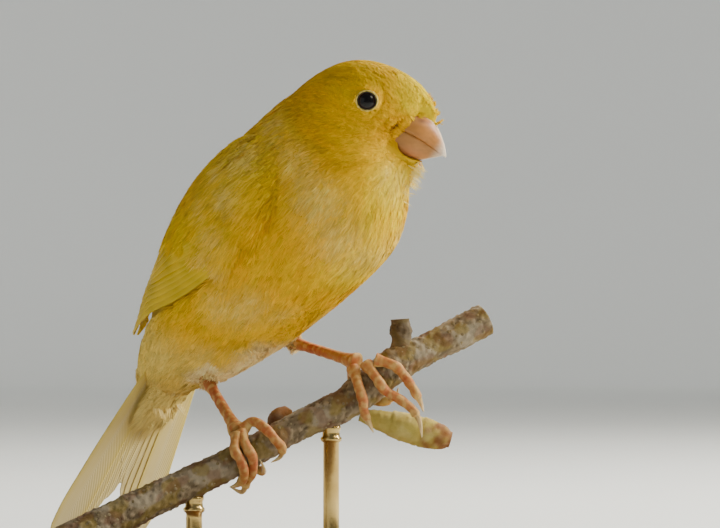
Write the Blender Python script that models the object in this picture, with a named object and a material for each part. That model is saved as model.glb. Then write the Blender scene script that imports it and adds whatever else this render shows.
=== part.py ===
"""A canary at life size, gripping a short length of branch on a plain display stand."""

import math

import bmesh
import bpy
import numpy as np
from mathutils import Matrix, Vector

# Gap that neighbouring pieces keep
GAP = 0.0003

# Corners nearer than this are one, halvings in a search for a surface, and the fold that stays sharp
MERGE_DISTANCE = 1e-7
SEARCH_STEPS = 30
SHARP_ANGLE = math.radians(40.0)

# Set of the trunk: its middle, and its turn and slope in the world
TRUNK_MIDDLE = (0.0000, -0.0060, 0.0728)
TRUNK_HEADING = math.radians(38.0)
TRUNK_PITCH = math.radians(46.0)

# Trunk sections: place along the axis, rise of the middle, half width, half depth
TRUNK_SECTIONS = (
    (-0.0400, 0.0012, 0.0040, 0.0026),
    (-0.0370, 0.0010, 0.0070, 0.0048),
    (-0.0330, 0.0008, 0.0092, 0.0068),
    (-0.0280, 0.0006, 0.0114, 0.0088),
    (-0.0210, 0.0004, 0.0145, 0.0122),
    (-0.0133, 0.0000, 0.0165, 0.0146),
    (-0.0055, 0.0000, 0.0180, 0.0166),
    (0.0033, -0.0005, 0.0190, 0.0182),
    (0.0133, -0.0017, 0.0190, 0.0187),
    (0.0185, -0.0022, 0.0183, 0.0187),
    (0.0240, -0.0018, 0.0166, 0.0174),
    (0.0290, -0.0010, 0.0142, 0.0161),
    (0.0340, 0.0000, 0.0106, 0.0132),
    (0.0370, 0.0014, 0.0078, 0.0096),
    (0.0400, 0.0020, 0.0040, 0.0050),
)
TRUNK_RINGS = 20
TRUNK_SIDES = 28
NECK_FOOT = 0.0205
NECK_TOP = 0.0305

# Head: an egg blended into the top of the neck
HEAD_MIDDLE = (0.0208, -0.0205, 0.0986)
HEAD_HEADING = math.radians(6.0)
HEAD_PITCH = math.radians(-20.0)
HEAD_FRONT = 0.0140
HEAD_BACK = 0.0130
HEAD_UP = 0.0110
HEAD_DOWN = 0.0125
HEAD_HALF_WIDTH = 0.0101
HEAD_FULLNESS = 2.15
HEAD_BLEND = 0.0035
# the face narrows towards the bill, from one place forward of the middle to the other
FACE_START = -0.0050
FACE_END = 0.0105
FACE_NARROWING = 0.46
FOREHEAD_FULLNESS = 0.75
HEAD_SIDES = 32
HEAD_RINGS = 18
# farther from the head's middle than any of its skin
HEAD_REACH = 0.030

# Eyes: place in the head's own frame (forward, up), ball, and the ring of the lids
EYE_FORWARD = -0.0006
EYE_UP = 0.0030
EYE_RADIUS = 0.0024
EYE_SUNK = 0.0015
# how far the eyes look up and forward, beside 1 to the side
EYE_LOOK_UP = 0.16
EYE_LOOK_FORWARD = 0.12
EYE_SEGMENTS = 14
LID_RADIUS = 0.0021
LID_RISE = 0.0001
LID_THICKNESS = 0.0005
LID_SIDES = 18
LID_TUBE_SIDES = 6

# Bill: tip, turn and slope of the mouth line, and its sections back from the tip
BILL_TIP = (0.0357, -0.0223, 0.0908)
BILL_HEADING = math.radians(6.0)
BILL_PITCH = math.radians(-33.7)
# distance from the tip, half width, height over the mouth line, depth under it
BILL_SECTIONS = (
    (0.0000, 0.0003, 0.0004, 0.0001),
    (0.0008, 0.0009, 0.0013, 0.0009),
    (0.0018, 0.0015, 0.0022, 0.0018),
    (0.0031, 0.0022, 0.0032, 0.0027),
    (0.0045, 0.0028, 0.0041, 0.0034),
    (0.0060, 0.0035, 0.0047, 0.0041),
    (0.0090, 0.0043, 0.0047, 0.0049),
    (0.0130, 0.0047, 0.0046, 0.0052),
)
BILL_ARC = 10
NOSTRIL_RADIUS = 0.00045
NOSTRIL_BACK = 0.0078
NOSTRIL_RISE = math.radians(42.0)
NOSTRIL_SEGMENTS = 8
# where the feathers of the face begin beside the bill, how far that slants from above to below,
# and how they spread from it
FACE_EDGE = 0.0104
FACE_EDGE_SLANT = 0.0011
FACE_FLARE = 1.1

# Folded wing: place along the trunk, upper and lower edge in degrees from the back, height of the
# shoulder's own skin
WING_SECTIONS = (
    (0.0270, 60.0, 76.0, 0.0006),
    (0.0240, 48.0, 90.0, 0.0009),
    (0.0180, 33.0, 101.0, 0.0009),
    (0.0080, 19.0, 106.0, 0.0006),
    (-0.0040, 10.0, 103.0, 0.0005),
    (-0.0140, 7.0, 90.0, 0.0005),
    (-0.0210, 7.0, 75.0, 0.0005),
    (-0.0265, 9.0, 62.0, 0.0005),
    (-0.0305, 16.0, 51.0, 0.0005),
    (-0.0330, 26.0, 42.0, 0.0005),
)
WING_CORE_END = -0.0205
WING_CORE_TURNS = (0.03, 0.97)
WING_RINGS = 8
WING_CORE_POINTS = 6
WING_SUNK = 0.0012
# the shoulder's height at its rim, as a share of its full height, and how round it is
WING_RIM = 0.6
WING_ROUNDNESS = 0.5
VANE_THICKNESS = 0.00055
VANE_TILT = 0.17
VANE_SUNK = 0.00042
# shares of a vane's full width, from root to tip
VANE_SHAPE = (0.60, 0.84, 0.98, 1.00, 0.88, 0.34)

# Primaries, outermost first: where along the trunk each tip lies
PRIMARY_TIPS = (-0.0302, -0.0324, -0.0331, -0.0320, -0.0302, -0.0281, -0.0259, -0.0238, -0.0218)
PRIMARY_ROOT = 0.0070
PRIMARY_ROOT_STEP = 0.0017
PRIMARY_HALF_WIDTH = 0.00095
PRIMARY_STATION = 0.0085
# place along the trunk, distance of the outermost from the wing's lower edge, step to the next,
# height over the body
PRIMARY_LIE = (
    (0.0070, 0.0012, 0.0006, 0.0009),
    (-0.0040, 0.0010, 0.0010, 0.0009),
    (-0.0140, 0.0009, 0.0013, 0.0009),
    (-0.0210, 0.0008, 0.0015, 0.0011),
    (-0.0265, 0.0007, 0.0014, 0.0017),
    (-0.0331, 0.0006, 0.0013, 0.0026),
)
# Rows of the other wing feathers: count, stations, root and tips along the trunk, share of the wing's
# breadth of the first and last at root and tip (0 at the back, 1 at the lower edge), half width,
# heights over the body
WING_ROWS = {
    "secondaries": (6, 4, 0.0070, (-0.0178, -0.0150), (0.90, 0.44), (0.62, 0.27), 0.0015, (0.0010, 0.0014)),
    "tertials": (3, 5, 0.0070, (-0.0158, -0.0050), (0.36, 0.13), (0.215, 0.10), 0.0020, (0.0011, 0.0016)),
    "greater_coverts": (8, 4, 0.018, (0.0040, 0.0046), (0.88, 0.16), (0.92, 0.14), 0.0022, (0.0010, 0.0016)),
    "median_coverts": (6, 4, 0.0225, (0.0125, 0.013), (0.80, 0.22), (0.86, 0.18), 0.0025, (0.0009, 0.0016)),
}

# Tail: root in the trunk, slope, spread and lengths of the feathers
TAIL_ROOT = -0.0300
TAIL_RISE = 0.0010
TAIL_PITCH = math.radians(58.0)
TAIL_COUNT = 12
TAIL_SPREAD = math.radians(9.0)
TAIL_INNER = 0.0250
TAIL_OUTER = 0.0455
TAIL_SAG = 0.0022
TAIL_STATIONS = 6
TAIL_HALF_WIDTH = 0.0019
TAIL_ROOT_HALF_WIDTH = 0.0066
TAIL_TILT = 0.16
# rump in front of the tail: distance from the tail's root, half width, height, depth
TAIL_CORE = (
    (0.0030, 0.0064, 0.0040, 0.0040),
    (0.0070, 0.0070, 0.0040, 0.0040),
    (0.0110, 0.0068, 0.0028, 0.0032),
    (0.0160, 0.0062, 0.0014, 0.0018),
    (0.0210, 0.0050, 0.0005, 0.0006),
)
# coverts over and under the tail: count, distance of root and tip, half breadth of the row, half width,
# heights
TAIL_COVERTS = {
    "upper": (5, 0.0050, 0.0225, 0.0048, 0.0020, (0.0038, 0.0010)),
    "under": (5, 0.0050, 0.0245, 0.0048, 0.0020, (-0.0036, -0.0011)),
}
TAIL_COVERT_STEP = 0.0035
TAIL_COVERT_STATIONS = 4
TAIL_COVERT_FAN = 1.1
TAIL_CORE_SIDES = 20
# how the feathers' lengths rise from the middle pair to the outer ones
TAIL_NOTCH = 0.8

# Branch: middle line and radius
BRANCH_LINE = (
    (-0.0390, -0.0268, 0.0155, 0.0036),
    (-0.0305, -0.0236, 0.0195, 0.0035),
    (-0.0180, -0.0193, 0.0254, 0.0033),
    (-0.0062, -0.0151, 0.0309, 0.0031),
    (0.0073, -0.0104, 0.0382, 0.0029),
    (0.0158, -0.0075, 0.0421, 0.0032),
    (0.0210, -0.0057, 0.0459, 0.0034),
    (0.0258, -0.0040, 0.0497, 0.0034),
    (0.0336, -0.0012, 0.0536, 0.0031),
    (0.0440, 0.0024, 0.0588, 0.0034),
)
BRANCH_RINGS = 24
BRANCH_SIDES = 12
# share of its length either side of a place, over which its direction is taken
BRANCH_STEP = 0.01

# Legs: heel, sole and size of each shank; the sole lies on the branch at a share of its length
LEGS = {
    "right": {"heel": (-0.0116, -0.0022, 0.0469), "foot": 0.4275, "turn": -4.0, "lift": 0.0017},
    "left": {"heel": (0.0052, 0.0040, 0.0544), "foot": 0.7240, "turn": 6.0, "lift": 0.0018},
}
SHANK_RADIUS = 0.00105
SHANK_SIDES = 12
# share of the shank's length, and how much thicker than its waist it is there
SHANK_SWELL = ((0.0, 1.25), (0.08, 1.15), (0.20, 1.0), (0.50, 1.0), (0.76, 1.02), (0.88, 1.18), (1.0, 1.35))
SOLE_RADIUS = 0.0017
THIGHS = {
    "right": {"hip": (-0.0030, -0.0080, 0.0560), "hip_radius": 0.0060},
    "left": {"hip": (0.0040, 0.0020, 0.0620), "hip_radius": 0.0060},
}
THIGH_END_RADIUS = 0.0019
THIGH_END = 0.16
# share of the thigh's length where the heel lies, and how it tapers
THIGH_HEEL = 0.75
THIGH_TAPER = 1.2
THIGH_RINGS = 7
THIGH_SIDES = 16

# Digits, 1 the hind one: joints by metres along the branch from the sole, degrees round it, height over
# the bark
DIGITS = {
    "right": (
        ((0.0000, -20, 0.0018), (-0.0006, -70, 0.0016), (0.0000, -115, 0.0014), (0.0006, -155, 0.0014),
         (0.0008, -190, 0.0014), (0.0006, -222, 0.0012), (0.0004, -248, 0.0009)),
        ((0.0008, 0, 0.0018), (0.0034, 8, 0.0024), (0.0044, 45, 0.0016), (0.0049, 84, 0.0014),
         (0.0054, 113, 0.0013), (0.0046, 140, 0.0012), (0.0026, 152, 0.0009)),
        ((0.0000, 16, 0.0018), (-0.0010, 60, 0.0016), (-0.0010, 96, 0.0014), (-0.0021, 135, 0.0014),
         (-0.0032, 163, 0.0016), (-0.0046, 178, 0.0030), (-0.0060, 196, 0.0014)),
        ((-0.0010, 18, 0.0018), (-0.0034, 54, 0.0016), (-0.0034, 84, 0.0014), (-0.0036, 117, 0.0014),
         (-0.0042, 146, 0.0013), (-0.0054, 162, 0.0013), (-0.0066, 172, 0.0010)),
    ),
    "left": (
        ((-0.0006, -20, 0.0018), (-0.0018, -70, 0.0016), (-0.0016, -115, 0.0014), (-0.0004, -155, 0.0014),
         (0.0012, -185, 0.0015), (0.0022, -203, 0.0014), (0.0030, -222, 0.0011)),
        ((-0.0018, 14, 0.0019), (-0.0036, 58, 0.0017), (-0.0048, 95, 0.0016), (-0.0056, 117, 0.0018),
         (-0.0058, 128, 0.0024), (-0.0060, 139, 0.0036), (-0.0062, 147, 0.0052)),
        ((0.0006, 30, 0.0020), (0.0000, 76, 0.0018), (0.0000, 108, 0.0019), (0.0010, 128, 0.0040),
         (0.0016, 139, 0.0068), (0.0012, 146, 0.0092), (0.0000, 152, 0.0116)),
        ((0.0026, 38, 0.0018), (0.0044, 76, 0.0016), (0.0050, 104, 0.0017), (0.0050, 124, 0.0032),
         (0.0048, 134, 0.0048), (0.0044, 142, 0.0064), (0.0036, 149, 0.0080)),
    ),
}
# share of each digit that is toe, the rest is claw
TOE_SHARE = (0.62, 0.74, 0.74, 0.76)
TOE_RADIUS = 0.00098
CLAW_RADIUS = 0.00070
# size at the end of a toe and of a claw, as a share of its root, and how a claw tapers
TOE_END = 0.84
CLAW_END = 0.12
CLAW_TAPER = 0.8
CLAW_SIDES = 6
DIGIT_STEPS = 17
DIGIT_SIDES = 8

# What grows on the branch: start, end and radii of each short stub
STUB_SIDES = 12
STUBS = (
    ((0.0276, -0.0030, 0.0500), (0.0270, -0.0030, 0.0590), (0.0026, 0.0024, 0.0021, 0.0022, 0.0019)),
    ((0.0020, -0.0080, 0.0370), (0.0052, -0.0084, 0.0420), (0.0018, 0.0022, 0.0021, 0.0014, 0.0006)),
    ((0.0190, -0.0060, 0.0400), (0.0370, -0.0050, 0.0350), (0.0012, 0.0022, 0.0030, 0.0030, 0.0022)),
)

# Stand: round base and two rods
BASE_RADIUS = 0.0520
BASE_HEIGHT = 0.0085
BASE_ROUND = 0.0012
BASE_SIDES = 44
ROD_RADIUS = 0.0016
ROD_SIDES = 16
ROD_RINGS = 5
ROD_PLACES = (0.30, 0.62)

# Colours, roughness and metallic value of each piece
FINISHES = {
    "feather": ((0.80, 0.56, 0.05, 1.0), 0.85, 0.0),
    "tail": ((0.78, 0.66, 0.32, 1.0), 0.80, 0.0),
    "horn": ((0.80, 0.50, 0.36, 1.0), 0.45, 0.0),
    "claw": ((0.78, 0.68, 0.38, 1.0), 0.40, 0.0),
    "leg": ((0.78, 0.38, 0.22, 1.0), 0.60, 0.0),
    "eye": ((0.01, 0.008, 0.006, 1.0), 0.05, 0.0),
    "bark": ((0.22, 0.17, 0.13, 1.0), 0.90, 0.0),
    "base": ((0.30, 0.20, 0.13, 1.0), 0.55, 0.0),
    "rod": ((0.55, 0.42, 0.22, 1.0), 0.35, 1.0),
}


def clear_scene():
    for item in list(bpy.data.objects):
        bpy.data.objects.remove(item)


def finish(name):
    """The material of one kind of surface, made once."""
    made = bpy.data.materials.get(name)
    if made:
        return made
    colour, roughness, metallic = FINISHES[name]
    made = bpy.data.materials.new(name)
    made.use_nodes = True
    shader = made.node_tree.nodes["Principled BSDF"]
    shader.inputs["Base Color"].default_value = colour
    shader.inputs["Roughness"].default_value = roughness
    shader.inputs["Metallic"].default_value = metallic
    return made


def frame_of(heading, pitch):
    """Forward, left and up of a body part turned by heading and raised by pitch."""
    forward = np.array((
        math.cos(pitch) * math.cos(heading),
        -math.cos(pitch) * math.sin(heading),
        math.sin(pitch),
    ))
    left = np.array((math.sin(heading), math.cos(heading), 0.0))
    return forward, left, np.cross(forward, left)


def sample(rows, places):
    """Rows read at the given places of their first column, along a smooth curve."""
    rows = np.array(sorted(rows, key=lambda row: row[0]), float)
    known, values = rows[:, 0], rows[:, 1:]
    steps = np.diff(known)[:, None]
    slopes = np.diff(values, axis=0) / steps
    tangents = np.vstack((slopes[:1], (slopes[1:] + slopes[:-1]) / 2, slopes[-1:]))
    places = np.clip(np.atleast_1d(places), known[0], known[-1])
    index = np.clip(np.searchsorted(known, places) - 1, 0, len(known) - 2)
    span = steps[index]
    t = ((places - known[index])[:, None]) / span
    return (
        (2 * t**3 - 3 * t**2 + 1) * values[index]
        + (t**3 - 2 * t**2 + t) * span * tangents[index]
        + (3 * t**2 - 2 * t**3) * values[index + 1]
        + (t**3 - t**2) * span * tangents[index + 1]
    )


def unit(vectors):
    return vectors / np.linalg.norm(vectors, axis=-1, keepdims=True)


def add_object(name, points, faces, kind):
    mesh = bpy.data.meshes.new(name)
    mesh.from_pydata([tuple(map(float, point)) for point in points], [], faces)
    shape = bmesh.new()
    shape.from_mesh(mesh)
    bmesh.ops.recalc_face_normals(shape, faces=shape.faces)
    shape.to_mesh(mesh)
    shape.free()
    mesh.shade_smooth()
    mesh.set_sharp_from_angle(angle=SHARP_ANGLE)
    mesh.materials.append(finish(kind))
    item = bpy.data.objects.new(name, mesh)
    bpy.context.scene.collection.objects.link(item)
    return item


def loft(name, rings, kind, points_at_ends=(False, False)):
    """A closed skin over rings of points, each end a flat cap or drawn to its middle."""
    rings = np.asarray(rings, float)
    count, sides = rings.shape[:2]
    points = list(rings.reshape(-1, 3))
    faces = []
    for i in range(count - 1):
        for j in range(sides):
            k = (j + 1) % sides
            low, high = i * sides, (i + 1) * sides
            faces.append((low + j, low + k, high + k))
            faces.append((low + j, high + k, high + j))
    for start, pointed in ((0, points_at_ends[0]), ((count - 1) * sides, points_at_ends[1])):
        ring = list(range(start, start + sides))
        if pointed:
            points.append(np.mean([points[i] for i in ring], axis=0))
            middle = len(points) - 1
            faces += [(ring[j], ring[(j + 1) % sides], middle) for j in range(sides)]
        else:
            faces.append(tuple(ring))
    return add_object(name, points, faces, kind)


def tube_rings(line, radii, sides, flat=1.0):
    """Rings of a round rod along a line of points, kept from twisting."""
    line = np.asarray(line, float)
    along = unit(np.gradient(line, axis=0))
    side = np.cross(along[0], (0.0, 0.0, 1.0))
    if np.linalg.norm(side) < 0.1:
        side = np.cross(along[0], (0.0, 1.0, 0.0))
    rings = []
    turns = np.linspace(0.0, 2 * math.pi, sides, endpoint=False)
    for centre, direction, radius in zip(line, along, radii):
        side = unit(side - direction * np.dot(side, direction))
        up = np.cross(side, direction)
        rings.append([
            centre + radius * (math.cos(a) * side + flat * math.sin(a) * up) for a in turns
        ])
    return np.array(rings)


def applied(item):
    """The object's mesh with its modifiers made part of it."""
    bpy.context.view_layer.update()
    graph = bpy.context.evaluated_depsgraph_get()
    mesh = bpy.data.meshes.new_from_object(item.evaluated_get(graph))
    item.modifiers.clear()
    item.data = mesh
    return item


def keep_largest(item):
    """Only the largest closed surface of the object is kept."""
    shape = bmesh.new()
    shape.from_mesh(item.data)
    bmesh.ops.remove_doubles(shape, verts=shape.verts, dist=MERGE_DISTANCE)
    bmesh.ops.triangulate(shape, faces=shape.faces)
    unseen = set(shape.faces)
    groups = []
    while unseen:
        edge_of_growth = [unseen.pop()]
        group = list(edge_of_growth)
        while edge_of_growth:
            face = edge_of_growth.pop()
            for edge in face.edges:
                for near in edge.link_faces:
                    if near in unseen:
                        unseen.remove(near)
                        edge_of_growth.append(near)
                        group.append(near)
        groups.append(group)

    def reach(group):
        points = np.array([vertex.co[:] for face in group for vertex in face.verts])
        return float(np.prod(np.ptp(points, axis=0) + 1e-5))

    groups.sort(key=reach, reverse=True)
    dropped = [face for group in groups[1:] for face in group]
    if dropped:
        bmesh.ops.delete(shape, geom=dropped, context="FACES")
    shape.to_mesh(item.data)
    shape.free()
    return item


def combine(item, others, operation):
    """Joins the others to the object or cuts them from it, and removes them."""
    group = bpy.data.collections.new("group")
    bpy.context.scene.collection.children.link(group)
    for other in others:
        bpy.context.scene.collection.objects.unlink(other)
        group.objects.link(other)
    modifier = item.modifiers.new("combine", "BOOLEAN")
    modifier.operation = operation
    modifier.operand_type = "COLLECTION"
    modifier.solver = "EXACT"
    modifier.collection = group
    applied(item)
    for other in list(group.objects):
        bpy.data.objects.remove(other)
    bpy.data.collections.remove(group)
    return keep_largest(item)


def part_at(item, point, normal, keep_front):
    """The object cut flat at a plane, on one side of it."""
    shape = bmesh.new()
    shape.from_mesh(item.data)
    bmesh.ops.bisect_plane(
        shape,
        geom=shape.verts[:] + shape.edges[:] + shape.faces[:],
        dist=MERGE_DISTANCE,
        plane_co=Vector(point),
        plane_no=Vector(normal),
        clear_inner=keep_front,
        clear_outer=not keep_front,
    )
    rim = [edge for edge in shape.edges if edge.is_boundary]
    if rim:
        bmesh.ops.contextual_create(shape, geom=rim)
    bmesh.ops.recalc_face_normals(shape, faces=shape.faces)
    shape.to_mesh(item.data)
    shape.free()
    return item


TRUNK_AXIS, TRUNK_LEFT, TRUNK_UP = frame_of(TRUNK_HEADING, TRUNK_PITCH)


def trunk_point(along, turn, side, lift=0.0):
    """A point over the trunk: turn is 0 on the back and 180 under the belly."""
    rise, half_width, half_depth = sample(TRUNK_SECTIONS, along)[0]
    angle = math.radians(turn)
    return (
        np.array(TRUNK_MIDDLE)
        + TRUNK_AXIS * along
        + TRUNK_UP * (rise + (half_depth + lift) * math.cos(angle))
        + TRUNK_LEFT * side * (half_width + lift) * math.sin(angle)
    )


def trunk_place(along, rise=0.0, aside=0.0):
    return np.array(TRUNK_MIDDLE) + TRUNK_AXIS * along + TRUNK_UP * rise + TRUNK_LEFT * aside


def make_trunk(name, grown=0.0):
    first, last = TRUNK_SECTIONS[0][0], TRUNK_SECTIONS[-1][0]
    rings = []
    for along in np.linspace(first, last, TRUNK_RINGS):
        rings.append([
            trunk_point(along, turn, 1.0, grown)
            for turn in np.linspace(0.0, 360.0, TRUNK_SIDES, endpoint=False)
        ])
    rings = np.array(rings)
    rings[0] -= TRUNK_AXIS * grown
    rings[-1] += TRUNK_AXIS * grown
    return loft(name, rings, "feather", (True, True))


def trunk_distance(points):
    local = points - np.array(TRUNK_MIDDLE)
    along = local @ TRUNK_AXIS
    rise, half_width, half_depth = sample(TRUNK_SECTIONS, along).T
    across = np.hypot(local @ TRUNK_LEFT / half_width, (local @ TRUNK_UP - rise) / half_depth)
    beyond = np.maximum(along - TRUNK_SECTIONS[-1][0], 0.0)
    return (across - 1.0) * np.minimum(half_width, half_depth) + beyond


def head_distance(points):
    forward, left, up = frame_of(HEAD_HEADING, HEAD_PITCH)
    local = points - np.array(HEAD_MIDDLE)
    x, y, z = local @ forward, local @ left, local @ up
    share = np.clip((x - FACE_START) / (FACE_END - FACE_START), 0.0, 1.0)
    brow = np.clip(z / HEAD_UP, 0.0, 1.0)
    narrowing = FACE_NARROWING * (1.0 - FOREHEAD_FULLNESS * brow)
    half_width = HEAD_HALF_WIDTH * (1.0 - narrowing * share * share * (3 - 2 * share))
    reach = (
        np.abs(x / np.where(x > 0, HEAD_FRONT, HEAD_BACK)) ** HEAD_FULLNESS
        + np.abs(y / half_width) ** HEAD_FULLNESS
        + np.abs(z / np.where(z > 0, HEAD_UP, HEAD_DOWN)) ** HEAD_FULLNESS
    )
    return (reach ** (1.0 / HEAD_FULLNESS) - 1.0) * HEAD_UP


def blended_distance(points):
    """Below zero inside the neck or the head, with a soft hollow where they meet."""
    first, second = trunk_distance(points), head_distance(points)
    near = np.clip(0.5 + 0.5 * (second - first) / HEAD_BLEND, 0.0, 1.0)
    return second * (1 - near) + first * near - HEAD_BLEND * near * (1 - near)


def make_head():
    forward, left, up = frame_of(HEAD_HEADING, HEAD_PITCH)
    centre = np.array(HEAD_MIDDLE)
    rings = []
    for polar in np.linspace(0.0, math.pi, HEAD_RINGS)[1:-1]:
        turns = np.linspace(0.0, 2 * math.pi, HEAD_SIDES, endpoint=False)
        ways = (
            math.cos(polar) * forward
            + math.sin(polar) * (np.cos(turns)[:, None] * up + np.sin(turns)[:, None] * left)
        )
        low = np.zeros(HEAD_SIDES)
        high = np.full(HEAD_SIDES, HEAD_REACH)
        for _ in range(SEARCH_STEPS):
            middle = (low + high) / 2
            inside = blended_distance(centre + ways * middle[:, None]) < 0
            low = np.where(inside, middle, low)
            high = np.where(inside, high, middle)
        rings.append(centre + ways * low[:, None])
    head = loft("head", rings, "feather", (True, True))
    part_at(head, trunk_place(NECK_TOP + GAP), TRUNK_AXIS, True)
    lids = [make_lid("lid", side) for side in (-1, 1)]
    combine(head, lids, "UNION")
    sockets = [make_ball("socket", eye_place(side), EYE_RADIUS + GAP) for side in (-1, 1)]
    combine(head, sockets, "DIFFERENCE")
    combine(head, [make_mandible("gape", None, GAP)], "DIFFERENCE")
    return head


def make_neck():
    neck = make_trunk("neck")
    part_at(neck, trunk_place(NECK_FOOT + GAP), TRUNK_AXIS, True)
    return part_at(neck, trunk_place(NECK_TOP), TRUNK_AXIS, False)


def make_torso():
    return part_at(make_trunk("torso"), trunk_place(NECK_FOOT), TRUNK_AXIS, False)


def eye_direction(side):
    forward, left, up = frame_of(HEAD_HEADING, HEAD_PITCH)
    return unit(left * side + up * EYE_LOOK_UP + forward * EYE_LOOK_FORWARD)


def eye_surface(side):
    """The point of the head's side that the eye looks out of."""
    forward, left, up = frame_of(HEAD_HEADING, HEAD_PITCH)
    start = np.array(HEAD_MIDDLE) + forward * EYE_FORWARD + up * EYE_UP
    low, high = 0.0, HEAD_HALF_WIDTH * 2
    for _ in range(SEARCH_STEPS):
        middle = (low + high) / 2
        inside = blended_distance((start + left * side * middle)[None])[0] < 0
        low, high = (middle, high) if inside else (low, middle)
    return start + left * side * low


def eye_place(side):
    return eye_surface(side) - eye_direction(side) * EYE_SUNK


def make_ball(name, centre, radius, kind="eye", segments=EYE_SEGMENTS):
    shape = bmesh.new()
    bmesh.ops.create_uvsphere(shape, u_segments=segments, v_segments=segments // 2 + 2, radius=radius)
    bmesh.ops.triangulate(shape, faces=shape.faces)
    mesh = bpy.data.meshes.new(name)
    shape.to_mesh(mesh)
    shape.free()
    mesh.transform(Matrix.Translation(Vector(centre)))
    mesh.shade_smooth()
    mesh.materials.append(finish(kind))
    item = bpy.data.objects.new(name, mesh)
    bpy.context.scene.collection.objects.link(item)
    return item


def make_lid(name, side):
    """The raised ring of skin round one eye."""
    out = eye_direction(side)
    middle = eye_surface(side) + out * LID_RISE
    first = unit(np.cross(out, (0.0, 0.0, 1.0)))
    second = np.cross(out, first)
    rings = []
    for a in np.linspace(0.0, 2 * math.pi, LID_SIDES, endpoint=False):
        ray = math.cos(a) * first + math.sin(a) * second
        rings.append([
            middle + ray * (LID_RADIUS + LID_THICKNESS * math.cos(b)) + out * LID_THICKNESS * math.sin(b)
            for b in np.linspace(0.0, 2 * math.pi, LID_TUBE_SIDES, endpoint=False)
        ])
    points = np.array(rings).reshape(-1, 3)
    faces = []
    for i in range(LID_SIDES):
        here, there = i * LID_TUBE_SIDES, (i + 1) % LID_SIDES * LID_TUBE_SIDES
        for j in range(LID_TUBE_SIDES):
            k = (j + 1) % LID_TUBE_SIDES
            faces += [(here + j, here + k, there + k), (here + j, there + k, there + j)]
    return add_object(name, points, faces, "feather")


def make_mandible(name, part, grown=0.0):
    """One half of the bill, or with no part named, the room that both take up."""
    forward, left, up = frame_of(BILL_HEADING, BILL_PITCH)
    turns = np.linspace(0.0, 2 * math.pi, 2 * BILL_ARC, endpoint=False)
    rings = []
    for back, half_width, height, depth in BILL_SECTIONS:
        width = half_width + grown
        centre = np.array(BILL_TIP) - forward * back
        if part is None:
            ring = []
            for a in turns:
                flare = FACE_FLARE * max(0.0, FACE_EDGE - FACE_EDGE_SLANT * math.sin(a) - back)
                reach = (height if math.sin(a) > 0 else depth) + grown
                ring.append(centre + left * (width + flare) * math.cos(a) + up * reach * math.sin(a))
        else:
            reach = height if part == "upper" else -depth
            floor = GAP / 2 if part == "upper" else -GAP / 2
            ring = [
                centre + left * width * math.cos(a) + up * (floor + reach * math.sin(a))
                for a in np.linspace(0.0, math.pi, BILL_ARC)
            ]
        rings.append(ring)
    rings = np.array(rings)
    rings[-1] -= forward * grown
    rings[0] += forward * grown
    item = loft(name, rings, "horn")
    if part == "upper":
        cut_nostrils(item)
    return item


def cut_nostrils(item):
    forward, left, up = frame_of(BILL_HEADING, BILL_PITCH)
    holes = []
    for side in (-1, 1):
        half_width, height, _ = sample(BILL_SECTIONS, NOSTRIL_BACK)[0]
        centre = (
            np.array(BILL_TIP) - forward * NOSTRIL_BACK
            + left * side * half_width * math.cos(NOSTRIL_RISE) + up * height * math.sin(NOSTRIL_RISE)
        )
        holes.append(make_ball("nostril", centre, NOSTRIL_RADIUS, "horn", NOSTRIL_SEGMENTS))
    combine(item, holes, "DIFFERENCE")


def make_blade(name, rings, kind):
    """A thin body over rings of four points, its two broad faces split into triangles alike."""
    points = np.asarray(rings, float).reshape(-1, 3)
    last = len(points) - 4
    faces = [(0, 1, 2), (0, 2, 3), (last, last + 2, last + 1), (last, last + 3, last + 2)]
    for start in range(0, last, 4):
        a, b, c, d = range(start, start + 4)
        e, f, g, h = range(start + 4, start + 8)
        faces += [(a, d, h), (a, h, e), (b, g, c), (b, f, g), (a, f, b), (a, e, f), (c, h, d), (c, g, h)]
    return add_object(name, points, faces, kind)


def vane_widths(half_width, count):
    return half_width * np.interp(
        np.linspace(0.0, 1.0, count), np.linspace(0.0, 1.0, len(VANE_SHAPE)), VANE_SHAPE
    )


def make_vane(name, centres, outward, half_width, tilt, kind):
    """One feather as a thin tapering blade along a line of middles."""
    centres = np.asarray(centres, float)
    along = unit(np.gradient(centres, axis=0))
    aside = unit(np.cross(outward, along))
    widths = vane_widths(half_width, len(centres))[:, None]
    rim = aside * widths + np.cross(along, aside) * widths * tilt
    skin = np.cross(along, aside) * VANE_THICKNESS / 2
    near, far = centres + rim, centres - rim
    rings = np.stack((near + skin, near - skin, far - skin, far + skin), 1)
    return make_blade(name, rings, kind)


def wing_span(along):
    """Upper and lower edge of the wing in degrees, and the metres between them."""
    upper, lower = sample(WING_SECTIONS, along)[0][:2]
    _, half_width, half_depth = sample(TRUNK_SECTIONS, along)[0]
    return upper, lower, math.radians(lower - upper) * (half_width + half_depth) / 2


def wing_vane(side, places, shares, lifts, half_width):
    """A wing feather: its lower edge lies over the next feather, its upper edge under."""
    rings = []
    for along, share, lift, width in zip(places, shares, lifts, vane_widths(half_width, len(places))):
        upper, lower, breadth = wing_span(along)
        ring = []
        for way in (-1, 1):
            turn = upper + (lower - upper) * (share + way * width / breadth)
            top = lift + VANE_THICKNESS / 2 + way * VANE_TILT * width
            under = VANE_SUNK if along > WING_CORE_END else top - VANE_THICKNESS
            ring.append([trunk_point(along, turn, side, height) for height in (top, under)])
        rings.append([ring[0][0], ring[0][1], ring[1][1], ring[1][0]])
    return make_blade("vane", rings, "feather")


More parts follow.
